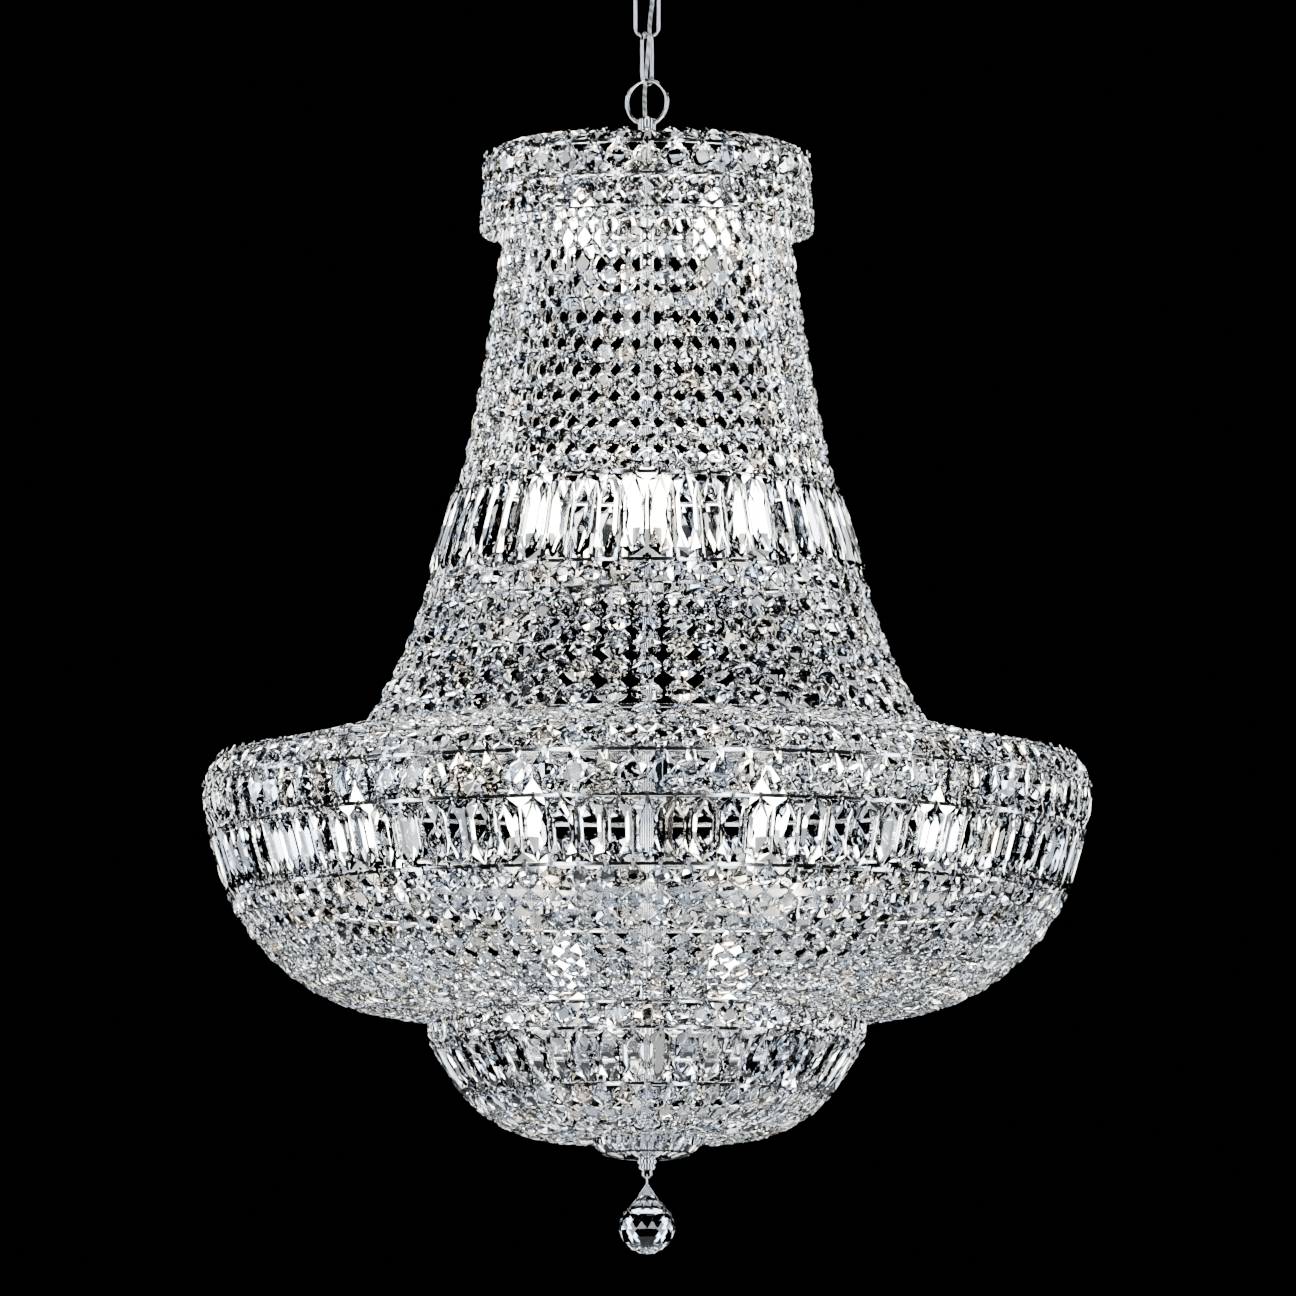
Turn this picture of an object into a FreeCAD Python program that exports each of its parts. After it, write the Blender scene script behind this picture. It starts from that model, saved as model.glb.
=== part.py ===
import FreeCAD, Part
import math
import os
import Sketcher
from FreeCAD import Vector

# A hanging crystal chandelier. Millimetres, +Z up. The origin is the middle of the
# ceiling cup's rim, flush with the ceiling, so every other height is below zero.

doc = FreeCAD.newDocument("CrystalChandelier")
sheet = doc.addObject("Spreadsheet::Sheet", "Sheet")

DIMENSIONS = [
    # ceiling fitting
    ("cup_radius", 63.5),
    ("cup_height", 24),
    ("cup_shoulder", 9),
    ("cup_wall", 1.2),
    ("bar_length", 104),
    ("bar_width", 18),
    ("bar_thickness", 2.4),
    ("slot_spacing", 88.9),
    ("slot_travel", 5),
    ("slot_width", 4.8),
    ("nipple_radius", 4.8),
    ("nipple_bore", 3.2),
    ("nut_flats", 16),
    ("nut_height", 5),
    ("collar_radius", 11),
    ("collar_height", 7),
    ("boss_radius", 7),
    ("boss_height", 10),
    ("thread_depth", 3),
    ("loop_wire", 4),
    ("loop_width", 24.4),
    ("loop_length", 22.1),
    # chain and hanging ring
    ("link_wire", 2.6),
    ("link_width", 21),
    ("link_length", 43.5),
    ("wire_flat", 3),
    ("ring_wire", 3),
    ("ring_radius", 19),
    ("play", 0.3),
    # supply cord
    ("cord_diameter", 3),
    ("cord_bore", 3.5),
    # centre column
    ("stem_radius", 5),
    ("coupling_radius", 6.8),
    ("coupling_height", 16),
    ("coupling_above_ring", 5.3),
    ("skirt_radius", 8),
    ("skirt_height", 6),
    ("socket_depth", 5),
    # welded rings, arms and ribs
    ("band_height", 5),
    ("band_wall", 2),
    ("plate_thickness", 2),
    ("seat", 0.3),
    ("hub_radius", 13),
    ("hub_height", 9),
    ("arm_width", 7),
    ("arm_height", 6),
    ("post_radius", 2.5),
    ("rib_width", 6),
    ("rib_thickness", 2.5),
    # levels of the tiers, each a drop from the one above
    ("coupling_to_crown", 5.8),
    ("crown_shoulder_drop", 9.5),
    ("crown_row_drop", 25.5),
    ("crown_drop_drop", 28.5),
    ("crown_fringe_drop", 17),
    ("neck_drop", 210.5),
    ("neck_prism_drop", 71),
    ("drape_drop", 121),
    ("shoulder_drop", 12),
    ("rim_shoulder_drop", 33),
    ("rim_row_drop", 35),
    ("basin_prism_drop", 53),
    ("basin_drop", 94.5),
    ("lower_row_drop", 20.5),
    ("lower_prism_drop", 42.5),
    ("tail_drop", 31),
    # radii of the rings that carry the crystals, and how far each other ring stands in or out
    ("crown_radius", 126),
    ("crown_mouth_inset", 30),
    ("neck_top_inset", 15.5),
    ("neck_flare", 35),
    ("neck_prism_flare", 20.5),
    ("drape_flare", 55),
    ("rim_radius", 349),
    ("shoulder_edge_inset", 35),
    ("basin_prism_inset", 5),
    ("basin_inset", 21),
    ("lower_top_radius", 171),
    ("lower_inset", 2.5),
    ("tail_inset", 29.5),
    # how far each hanging curtain bows out from a straight line
    ("neck_bow", -2.4),
    ("drape_bow", -6),
    ("rim_bow", 6),
    ("basin_bow", 29),
    ("tail_bow", 14),
    # crystals
    ("columns", 48),
    ("crown_columns", 36),
    ("fringe_columns", 54),
    ("octagon_width", 14),
    ("octagon_depth", 5),
    ("large_octagon_width", 20),
    ("large_octagon_depth", 7),
    ("neck_rows", 10),
    ("drape_rows", 6),
    ("basin_upper_rows", 3),
    ("basin_lower_rows", 6),
    ("basin_thinning", 0.42),
    ("tail_upper_rows", 2),
    ("tail_lower_rows", 3),
    ("tail_thinning", 0.45),
    ("pin_gap", 0.4),
    ("prism_width", 18),
    ("prism_depth", 8),
    ("prism_point", 9),
    # lamps
    ("holder_radius", 10),
    ("holder_height", 12),
    ("sleeve_radius", 11.5),
    ("sleeve_height", 26),
    ("sleeve_wall", 1),
    ("bulb_radius", 16),
    ("bulb_length", 74),
    ("upper_lamp_inset", 36.5),
    ("upper_lamp_drop", 57),
    ("neck_lamp_inset", 71),
    ("basin_lamp_inset", 80),
    ("lower_lamp_inset", 78.5),
    # dish, finial nut and ball drop
    ("dish_radius", 44),
    ("dish_depth", 19),
    ("dish_wall", 3),
    ("finial_radius", 7.2),
    ("finial_height", 9),
    ("eye_wire", 1.6),
    ("eye_width", 8),
    ("eye_length", 8),
    ("hook_wire", 1.4),
    ("hook_width", 10),
    ("hook_length", 10.9),
    ("hook_flat", 3),
    ("ball_radius", 22.5),
    ("ball_neck_radius", 3.4),
    ("ball_neck_length", 8.5),
    ("ball_bore", 3.6),
]

for row, (alias, number) in enumerate(DIMENSIONS, start=1):
    sheet.set(f"A{row}", alias)
    sheet.set(f"B{row}", str(number))
    sheet.setAlias(f"B{row}", alias)
doc.recompute()


class Size:
    """A length that holds its number and the expression over the sheet that gives it."""

    def __init__(self, number, text):
        self.number = number
        self.text = text

    def __add__(self, other):
        other = as_size(other)
        return Size(self.number + other.number, f"({self.text} + {other.text})")

    def __sub__(self, other):
        other = as_size(other)
        return Size(self.number - other.number, f"({self.text} - {other.text})")

    def __mul__(self, factor):
        factor = as_size(factor)
        return Size(self.number * factor.number, f"({self.text} * {factor.text})")

    def __truediv__(self, divisor):
        return Size(self.number / divisor, f"({self.text} / {divisor})")


def as_size(value):
    return value if isinstance(value, Size) else Size(value, str(value))


def size(alias):
    return Size(float(sheet.get(alias)), f"Sheet.{alias}")


def number(alias):
    return float(sheet.get(alias))


ZERO = Size(0, "0")
NODES = []


def keep(piece, label):
    """Names a finished sub-part, which is then written to its own file."""
    piece.Label = label
    NODES.append(piece)
    return piece


def bind(piece, **sizes):
    """Ties properties of a piece to expressions over the sheet."""
    for name, value in sizes.items():
        piece.setExpression(name, as_size(value).text)


def raise_to(piece, level):
    piece.setExpression("Placement.Base.z", level.text)


def plane_of(body, role):
    return next(plane for plane in body.Origin.OriginFeatures if plane.Role == role)


def sketch_on(body, role, name):
    sketch = body.newObject("Sketcher::SketchObject", name)
    sketch.AttachmentSupport = [(plane_of(body, role), "")]
    sketch.MapMode = "FlatFace"
    return sketch


def fix_corner(sketch, line, across, up):
    """Ties the start of a sketch line to two sizes, or to an axis where a size is nil."""
    for kind, value, axis in (("DistanceX", across, -2), ("DistanceY", up, -1)):
        if value.number == 0:
            sketch.addConstraint(Sketcher.Constraint("PointOnObject", line, 1, axis))
            continue
        made = Sketcher.Constraint(kind, -1, 1, line, 1, value.number)
        index = sketch.addConstraint(made)
        sketch.setExpression(f"Constraints[{index}]", value.text)


def closed_outline(sketch, corners):
    """Draws a closed outline of straight lines through (across, up) sizes."""
    points = [Vector(across.number, up.number, 0) for across, up in corners]
    count = len(points)
    first = sketch.GeometryCount
    for start, end in zip(points, points[1:] + points[:1]):
        sketch.addGeometry(Part.LineSegment(start, end), False)
    for k in range(count):
        after = first + (k + 1) % count
        sketch.addConstraint(Sketcher.Constraint("Coincident", first + k, 2, after, 1))
    for k, (across, up) in enumerate(corners):
        fix_corner(sketch, first + k, across, up)


def circle_in(sketch, radius, across=ZERO):
    """Draws a circle on the sketch's own level axis."""
    centre = Vector(across.number, 0, 0)
    circle = Part.Circle(centre, Vector(0, 0, 1), radius.number)
    index = sketch.addGeometry(circle, False)
    made = sketch.addConstraint(Sketcher.Constraint("Radius", index, radius.number))
    sketch.setExpression(f"Constraints[{made}]", radius.text)
    sketch.addConstraint(Sketcher.Constraint("PointOnObject", index, 3, -1))
    if across.number == 0:
        sketch.addConstraint(Sketcher.Constraint("PointOnObject", index, 3, -2))
        return
    place = Sketcher.Constraint("DistanceX", -1, 1, index, 3, across.number)
    made = sketch.addConstraint(place)
    sketch.setExpression(f"Constraints[{made}]", across.text)


def turned(label, corners, level=ZERO):
    """A piece turned about the upright axis, from half its outline as (radius, height)."""
    body = doc.addObject("PartDesign::Body", label)
    sketch = sketch_on(body, "XZ_Plane", label + "_outline")
    closed_outline(sketch, corners)
    turn = body.newObject("PartDesign::Revolution", label + "_turn")
    turn.Profile = sketch
    turn.ReferenceAxis = (sketch, ["V_Axis"])
    turn.Angle = 360
    sketch.Visibility = False
    raise_to(body, level)
    return body


def padded(body, sketch, height, name):
    pad = body.newObject("PartDesign::Pad", name)
    pad.Profile = sketch
    bind(pad, Length=height)
    return pad


def copies(label, master, places):
    """A node of separate solids: one copy of a finished piece at each placement."""
    doc.recompute()
    made = []
    for place in places:
        made.append(master.Shape.transformed(place.toMatrix(), copy=True))
    node = doc.addObject("Part::Feature", label)
    node.Shape = Part.makeCompound(made)
    return keep(node, label)


def turned_place(angle, radius=0, level=0):
    """The placement at an angle round the column, this far out and at this level."""
    spin = FreeCAD.Rotation(Vector(0, 0, 1), angle)
    return FreeCAD.Placement(spin.multVec(Vector(radius, 0, level)), spin)


def around(count, first=0):
    return [first + 360 * k / count for k in range(int(count))]


# ---------------------------------------------------------------- levels

band = size("band_height")
wall = size("band_wall")
seat = size("seat")

bar_bottom = ZERO - size("bar_thickness")
cup_bottom = ZERO - size("cup_height")
collar_bottom = cup_bottom - size("collar_height")
boss_bottom = collar_bottom - size("boss_height")
loop_top = boss_bottom + size("loop_wire") / 2 + 1

# centre lines of the wires that bear on each other, from the cup down to the ring
loop_low = loop_top - size("loop_length") + size("loop_wire")
upper_high = loop_low - (ZERO - (size("loop_wire") + size("link_wire")) / 2 - size("play"))
upper_low = upper_high - size("link_length") + size("link_wire")
lower_high = upper_low + size("link_wire") + size("play")
lower_low = lower_high - size("link_length") + size("link_wire")
ring_high = lower_low + (size("link_wire") + size("ring_wire")) / 2 + size("play")
ring_middle = ring_high - size("ring_radius") + size("ring_wire") / 2
ring_low = ring_middle - size("ring_radius") + size("ring_wire") / 2

coupling_top = ring_low + size("coupling_above_ring")
coupling_bottom = coupling_top - size("coupling_height")

crown_mouth = coupling_bottom - size("coupling_to_crown")
crown_top = crown_mouth - size("crown_shoulder_drop")
crown_line = crown_top - size("crown_row_drop")
crown_base = crown_line - size("crown_drop_drop")
neck_line = crown_base - size("neck_drop")
neck_foot = neck_line - size("neck_prism_drop")
shoulder = neck_foot - size("drape_drop")
shoulder_edge = shoulder - size("shoulder_drop")
rim = shoulder_edge - size("rim_shoulder_drop")
basin_prism_line = rim - size("rim_row_drop")
basin_line = basin_prism_line - size("basin_prism_drop")
lower_top = basin_line - size("basin_drop")
lower_line = lower_top - size("lower_row_drop")
tail_line = lower_line - size("lower_prism_drop")
dish_top = tail_line - size("tail_drop")
dish_bottom = dish_top - size("dish_depth")
finial_bottom = dish_bottom - size("finial_height")

# ring radii: the crown and neck step out from the crown, the basin steps in from its rim
crown_radius = size("crown_radius")
crown_mouth_radius = crown_radius - size("crown_mouth_inset")
neck_top_radius = crown_radius - size("neck_top_inset")
neck_radius = neck_top_radius + size("neck_flare")
neck_foot_radius = neck_radius + size("neck_prism_flare")
shoulder_radius = neck_foot_radius + size("drape_flare")
rim_radius = size("rim_radius")
shoulder_edge_radius = rim_radius - size("shoulder_edge_inset")
basin_prism_radius = rim_radius - size("basin_prism_inset")
basin_radius = rim_radius - size("basin_inset")
lower_top_radius = size("lower_top_radius")
lower_radius = lower_top_radius - size("lower_inset")
tail_radius = lower_top_radius - size("tail_inset")

# radii of the circles that the lamps stand on, each inside its own ring
upper_lamp_radius = neck_top_radius - size("upper_lamp_inset")
neck_lamp_radius = neck_foot_radius - size("neck_lamp_inset")
basin_lamp_radius = basin_radius - size("basin_lamp_inset")
lower_lamp_radius = lower_radius - size("lower_lamp_inset")

# ---------------------------------------------------------------- ceiling fitting


def make_crossbar():
    """A flat steel bar with a middle hole and a slot for a ceiling-box screw at each end."""
    body = doc.addObject("PartDesign::Body", "crossbar")
    flat = sketch_on(body, "XY_Plane", "crossbar_outline")
    half_length = size("bar_length") / 2
    half_width = size("bar_width") / 2
    below, left = ZERO - half_width, ZERO - half_length
    closed_outline(
        flat,
        [(left, below), (half_length, below), (half_length, half_width), (left, half_width)],
    )
    circle_in(flat, size("nipple_radius") + seat)
    padded(body, flat, size("bar_thickness"), "crossbar_pad")
    doc.recompute()
    slots = sketch_on(body, "XY_Plane", "crossbar_slots")
    inner = (size("slot_spacing") - size("slot_travel")) / 2
    outer = (size("slot_spacing") + size("slot_travel")) / 2
    for near, far in ((inner, outer), (ZERO - outer, ZERO - inner)):
        slot_outline(slots, near, far, size("slot_width") / 2)
    cut = body.newObject("PartDesign::Pocket", "crossbar_slot_cut")
    cut.Profile = slots
    cut.Type = "ThroughAll"
    cut.Midplane = True
    raise_to(body, bar_bottom)
    keep(body, "crossbar")


def slot_outline(sketch, near, far, half_width):
    """A slot along the level axis: two straight sides joined by two half circles."""
    low, high, radius = -half_width.number, half_width.number, half_width.number
    up = Vector(0, 0, 1)
    first = sketch.GeometryCount
    bottom = Part.LineSegment(Vector(near.number, low, 0), Vector(far.number, low, 0))
    top = Part.LineSegment(Vector(far.number, high, 0), Vector(near.number, high, 0))
    right = Part.Circle(Vector(far.number, 0, 0), up, radius)
    left = Part.Circle(Vector(near.number, 0, 0), up, radius)
    quarter = math.pi / 2
    sketch.addGeometry(bottom, False)
    sketch.addGeometry(Part.ArcOfCircle(right, -quarter, quarter), False)
    sketch.addGeometry(top, False)
    sketch.addGeometry(Part.ArcOfCircle(left, quarter, 3 * quarter), False)
    for start, end in ((0, 1), (1, 2), (2, 3), (3, 0)):
        joint = Sketcher.Constraint("Tangent", first + start, 2, first + end, 1)
        sketch.addConstraint(joint)
    for arc, middle in ((1, far), (3, near)):
        sketch.addConstraint(Sketcher.Constraint("PointOnObject", first + arc, 3, -1))
        made = Sketcher.Constraint("DistanceX", -1, 1, first + arc, 3, middle.number)
        index = sketch.addConstraint(made)
        sketch.setExpression(f"Constraints[{index}]", middle.text)
    index = sketch.addConstraint(Sketcher.Constraint("Radius", first + 1, radius))
    sketch.setExpression(f"Constraints[{index}]", half_width.text)


def make_nipple():
    """The threaded tube that carries the whole weight and lets the cord through."""
    radius, bore = size("nipple_radius"), size("nipple_bore")
    length = size("cup_height") + size("collar_height") + size("thread_depth")
    level = ZERO - length
    keep(
        turned("nipple", [(bore, ZERO), (radius, ZERO), (radius, length), (bore, length)], level),
        "nipple",
    )


def make_lock_nut():
    """The hexagon nut that locks the nipple to the crossbar."""
    body = doc.addObject("PartDesign::Body", "lock_nut")
    sketch = sketch_on(body, "XY_Plane", "lock_nut_outline")
    corner = size("nut_flats") / math.sqrt(3)
    corners = []
    for k in range(6):
        turn = math.radians(60 * k)
        across, up = round(math.cos(turn), 9), round(math.sin(turn), 9)
        corners.append((corner * across, corner * up if up else ZERO))
    closed_outline(sketch, corners)
    circle_in(sketch, size("nipple_radius") + seat / 2)
    padded(body, sketch, size("nut_height"), "lock_nut_pad")
    raise_to(body, bar_bottom - size("nut_height"))
    keep(body, "lock_nut")


def make_cup():
    """The spun ceiling cup: a rolled shoulder over a flat top with a hole for the nipple."""
    radius, thick = size("cup_radius"), size("cup_wall")
    depth, slope = size("cup_height"), size("cup_shoulder")
    hole = size("nipple_radius") + seat
    corners = [
        (hole, ZERO),
        (radius - slope * 3, ZERO),
        (radius - slope, slope / 2),
        (radius - slope / 4, slope * 1.5),
        (radius, depth - thick),
        (radius, depth),
        (radius - thick, depth),
        (radius - thick - slope / 4, slope * 1.5 + thick),
        (radius - thick - slope, slope / 2 + thick),
        (radius - thick - slope * 3, thick),
        (hole, thick),
    ]
    keep(turned("ceiling_cup", corners, cup_bottom), "ceiling_cup")


def make_collar():
    """The ring nut under the cup, waisted to be turned by hand."""
    bore = size("nipple_radius") + seat / 2
    radius, height = size("collar_radius"), size("collar_height")
    waist = radius - 1.5
    corners = [
        (bore, ZERO),
        (waist, ZERO),
        (radius, height / 4),
        (radius, height / 2),
        (waist, height * 0.75),
        (waist + 1, height),
        (bore, height),
    ]
    keep(turned("screw_collar", corners, collar_bottom), "screw_collar")


def wire_loop(length, width, wire, flat):
    """A closed oval of round wire in the XZ plane, its ends flat for a short way so that
    the next wire bears on a straight piece. Sizes are over the wire, and the middle is at
    the origin."""
    half_long = (length - wire) / 2
    half_wide = (width - wire) / 2
    corner = min(half_wide - flat / 2, half_long)
    half_flat = half_wide - corner
    straight = half_long - corner
    slant = corner / math.sqrt(2)
    edges = []
    for across in (1, -1):
        for up in (1, -1):
            centre = Vector(across * half_flat, 0, up * straight)
            side = centre + Vector(across * corner, 0, 0)
            end = centre + Vector(0, 0, up * corner)
            middle = centre + Vector(across * slant, 0, up * slant)
            edges.append(Part.Arc(end, middle, side).toShape())
        if straight > 0.001:
            high = Vector(across * half_wide, 0, straight)
            low = Vector(across * half_wide, 0, -straight)
            edges.append(Part.LineSegment(high, low).toShape())
    for level in (half_long, -half_long):
        left, right = Vector(-half_flat, 0, level), Vector(half_flat, 0, level)
        edges.append(Part.LineSegment(left, right).toShape())
    path = Part.Wire(Part.__sortEdges__(edges))
    ring = Part.makeCircle(wire / 2, Vector(0, 0, half_long), Vector(1, 0, 0))
    return path.makePipeShell([Part.Wire([ring])], True, False)


def placed_loop(name, sizes, middle, angle):
    """A wire loop standing upright, its plane turned this far from the XZ plane."""
    loop = doc.addObject("Part::Feature", name)
    loop.Shape = wire_loop(*(number(alias) for alias in sizes))
    upright = FreeCAD.Rotation(Vector(0, 0, 1), angle)
    loop.Placement = FreeCAD.Placement(Vector(0, 0, middle.number), upright)
    return loop


def cylinder(name, radius, height, level, across=0, along=0):
    piece = doc.addObject("Part::Cylinder", name)
    bind(piece, Radius=radius, Height=height)
    piece.Placement.Base = Vector(across, along, 0)
    raise_to(piece, level)
    return piece


def cut_from(name, base, tool):
    piece = doc.addObject("Part::Cut", name)
    piece.Base = base
    piece.Tool = tool
    return piece


def joined(name, pieces):
    piece = doc.addObject("Part::MultiFuse", name)
    piece.Shapes = pieces
    return piece


def make_ceiling_loop():
    """The loop that screws on to the nipple: a boss with a wire bail, bored for the cord."""
    boss = cylinder("loop_boss", size("boss_radius"), size("boss_height"), boss_bottom)
    middle = (loop_top + loop_low) / 2
    sizes = ("loop_length", "loop_width", "loop_wire", "wire_flat")
    bail = placed_loop("loop_bail", sizes, middle, 90)
    blank = joined("loop_blank", [boss, bail])
    depth = size("thread_depth")
    thread = cylinder(
        "loop_thread", size("nipple_radius") + seat / 2, depth, collar_bottom - depth
    )
    hole = cylinder("loop_hole", size("cord_bore") / 2, size("boss_height"), boss_bottom)
    keep(cut_from("ceiling_loop", blank, joined("loop_bores", [thread, hole])), "ceiling_loop")


# ---------------------------------------------------------------- chain

CHAIN_TWIST = 25  # degrees that the lower link and the ring have turned from square


def make_links():
    """Two oval links of round wire, each square to the one above but for a slight twist."""
    sizes = ("link_length", "link_width", "link_wire", "wire_flat")
    upper = placed_loop("upper_link", sizes, (upper_high + upper_low) / 2, 0)
    keep(upper, "upper_link")
    lower = placed_loop("lower_link", sizes, (lower_high + lower_low) / 2, 90 - CHAIN_TWIST)
    keep(lower, "lower_link")


def make_ring():
    """The round ring that the fixture hangs by, closed through the coupling."""
    ring = doc.addObject("Part::Torus", "hanging_ring")
    bind(ring, Radius1=size("ring_radius") - size("ring_wire") / 2, Radius2=size("ring_wire") / 2)
    ring.Placement.Rotation = ring_turn()
    raise_to(ring, ring_middle)
    keep(ring, "hanging_ring")


def ring_turn():
    """Stands a flat ring upright in the plane that faces the lower link."""
    upright = FreeCAD.Rotation(Vector(1, 0, 0), 90)
    return FreeCAD.Rotation(Vector(0, 0, 1), -CHAIN_TWIST).multiply(upright)


CORD_SEAT = (-1.65, -3.53)  # where the cord enters the coupling, in front of the ring


def make_coupling():
    """The turned coupling that joins ring, cord and column: the ring passes through it."""
    radius, skirt = size("coupling_radius"), size("skirt_radius")
    height, step = size("coupling_height"), size("skirt_height")
    body = turned(
        "coupling_blank",
        [
            (ZERO, ZERO),
            (skirt, ZERO),
            (skirt, step * 0.75),
            (radius, step),
            (radius, height - 1.5),
            (radius - 1.2, height),
            (ZERO, height),
        ],
        coupling_bottom,
    )
    slot = doc.addObject("Part::Torus", "ring_way")
    play = size("play")
    bind(
        slot,
        Radius1=size("ring_radius") - size("ring_wire") / 2,
        Radius2=size("ring_wire") / 2 + play,
    )
    slot.Placement.Rotation = ring_turn()
    raise_to(slot, ring_middle)
    gland = cylinder(
        "cord_way", size("cord_bore") / 2, height, coupling_top - height / 2, *CORD_SEAT
    )
    bore = cylinder("stem_way", size("stem_radius") + seat / 2, size("socket_depth"), coupling_bottom)
    keep(cut_from("coupling", body, joined("coupling_bores", [slot, gland, bore])), "coupling")


# Each stretch of the cord threads one meeting of two links, from the middle of one body
# to the middle of the next. Points are (x, y, z).
CORD_ROUTES = {
    "cord_upper": [
        (0, 0, -37),
        (0, 0, -43),
        (1.6, 3.2, -49),
        (4.5, 4.1, -56),
        (4.2, 2.2, -65),
        (3.2, 0, -74),
    ],
    "cord_middle": [
        (3.2, 0, -74),
        (2.2, -2.2, -83),
        (2.1, -3.8, -92),
        (1.3, -1.9, -102),
        (0.3, 0.5, -112),
    ],
    "cord_lower": [
        (0.3, 0.5, -112),
        (-0.6, 2.66, -121),
        (-1.5, 4.5, -130.5),
        (-2.0, 2.4, -140),
        (-1.9, -1.4, -149),
        (-1.65, -3.53, -157),
        (-1.65, -3.53, -163),
    ],
}


def rounded_path(points, name):
    """Straight runs joined by tangent arcs, each as large as its two runs allow."""
    points = [Vector(*point) for point in points]
    edges, start, radii = [], points[0], []
    for before, corner, after in zip(points, points[1:], points[2:]):
        into, out = (corner - before), (after - corner)
        reach = 0.45 * min(into.Length, out.Length)
        into.normalize()
        out.normalize()
        turn = into.getAngle(out)
        radii.append(round(reach / math.tan(turn / 2), 1))
        first, last = corner - into * reach, corner + out * reach
        bisector = (out - into).normalize()
        depth = reach / math.tan(turn / 2) * (1 / math.cos(turn / 2) - 1)
        edges.append(Part.LineSegment(start, first).toShape())
        edges.append(Part.Arc(first, corner + bisector * depth, last).toShape())
        start = last
    edges.append(Part.LineSegment(start, points[-1]).toShape())
    print(name, "arc radii", radii)
    return Part.Wire(edges)


def make_cords():
    """The clear supply cord, threaded through the loop, both links and the ring."""
    radius = number("cord_diameter") / 2
    for name, points in CORD_ROUTES.items():
        path = rounded_path(points, name)
        heading = Vector(*points[1]) - Vector(*points[0])
        section = Part.Wire([Part.makeCircle(radius, Vector(*points[0]), heading)])
        tube = path.makePipeShell([section], True, False)
        print(name, "volume", tube.Volume, "of", math.pi * radius**2 * path.Length)
        cord = doc.addObject("Part::Feature", name)
        cord.Shape = tube
        keep(cord, name)


# ---------------------------------------------------------------- column and frames


def make_stem():
    """The tube down the middle, from the coupling to the finial nut."""
    radius = size("stem_radius")
    bottom = dish_bottom - size("socket_depth")
    height = coupling_bottom + size("socket_depth") - bottom
    bore = radius - size("band_wall") / 2
    corners = [(bore, ZERO), (radius, ZERO), (radius, height), (bore, height)]
    keep(turned("stem", corners, bottom), "stem")


def make_band(label, radius, level):
    """A ring of flat strip on edge, with the crystals pinned along its edges."""
    inner, outer = radius - wall / 2, radius + wall / 2
    corners = [(inner, ZERO), (outer, ZERO), (outer, band), (inner, band)]
    keep(turned(label, corners, level - band / 2), label)


def make_crown_plate():
    """The flat ring at the foot of the crown: fringe outside, neck strands inside."""
    inner = neck_top_radius - wall / 2
    outer = crown_radius + wall / 2
    thick = size("plate_thickness")
    corners = [(inner, ZERO), (outer, ZERO), (outer, thick), (inner, thick)]
    keep(turned("crown_plate", corners, crown_base), "crown_plate")


BANDS = {
    "crown_mouth_ring": (crown_mouth_radius, crown_mouth),
    "crown_top_ring": (crown_radius, crown_top),
    "crown_line_ring": (crown_radius, crown_line),
    "neck_ring": (neck_radius, neck_line),
    "neck_foot_ring": (neck_foot_radius, neck_foot),
    "shoulder_ring": (shoulder_radius, shoulder),
    "shoulder_edge_ring": (shoulder_edge_radius, shoulder_edge),
    "rim_ring": (rim_radius, rim),
    "basin_prism_ring": (basin_prism_radius, basin_prism_line),
    "basin_ring": (basin_radius, basin_line),
    "lower_top_ring": (lower_top_radius, lower_top),
    "lower_ring": (lower_radius, lower_line),
    "tail_ring": (tail_radius, tail_line),
}


def make_spider(label, top, reach, arms, first, lamp_radius=None, post=None):
    """A hub on the column with level arms. Each arm may have a round seat for a lamp, or a
    post, given as (radius, rise above the arm), for a ring that stands higher."""
    body = doc.addObject("PartDesign::Body", label)
    disc = sketch_on(body, "XY_Plane", label + "_hub")
    circle_in(disc, size("hub_radius"))
    padded(body, disc, size("hub_height"), label + "_hub_pad")
    strip = sketch_on(body, "XY_Plane", label + "_arm")
    half, root = size("arm_width") / 2, size("hub_radius") / 2
    corners = [(root, ZERO - half), (reach, ZERO - half), (reach, half), (root, half)]
    closed_outline(strip, corners)
    arm = padded(body, strip, size("arm_height"), label + "_arm_pad")
    repeated = [arm]
    if lamp_radius:
        plate = sketch_on(body, "XY_Plane", label + "_seat")
        circle_in(plate, size("sleeve_radius") + 2, lamp_radius)
        repeated.append(padded(body, plate, size("arm_height"), label + "_seat_pad"))
    if post:
        foot = sketch_on(body, "XY_Plane", label + "_post")
        circle_in(foot, size("post_radius"), post[0])
        repeated.append(padded(body, foot, size("arm_height") + post[1], label + "_post_pad"))
    pattern = body.newObject("PartDesign::PolarPattern", label + "_arms")
    pattern.Originals = repeated
    pattern.Axis = (disc, ["N_Axis"])
    pattern.Angle = 360
    pattern.Occurrences = int(arms)
    bore = sketch_on(body, "XY_Plane", label + "_bore")
    circle_in(bore, size("stem_radius") + seat / 2)
    doc.recompute()
    body.Tip = pattern
    hole = body.newObject("PartDesign::Pocket", label + "_bore_cut")
    hole.Profile = bore
    hole.Type = "ThroughAll"
    hole.Midplane = True
    body.Placement.Rotation = FreeCAD.Rotation(Vector(0, 0, 1), first)
    raise_to(body, top - size("arm_height"))
    keep(body, label)


def inside_of(radius):
    """How far an arm reaches so that its end seats on the inside of a band."""
    return radius - wall / 2 - seat


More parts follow.
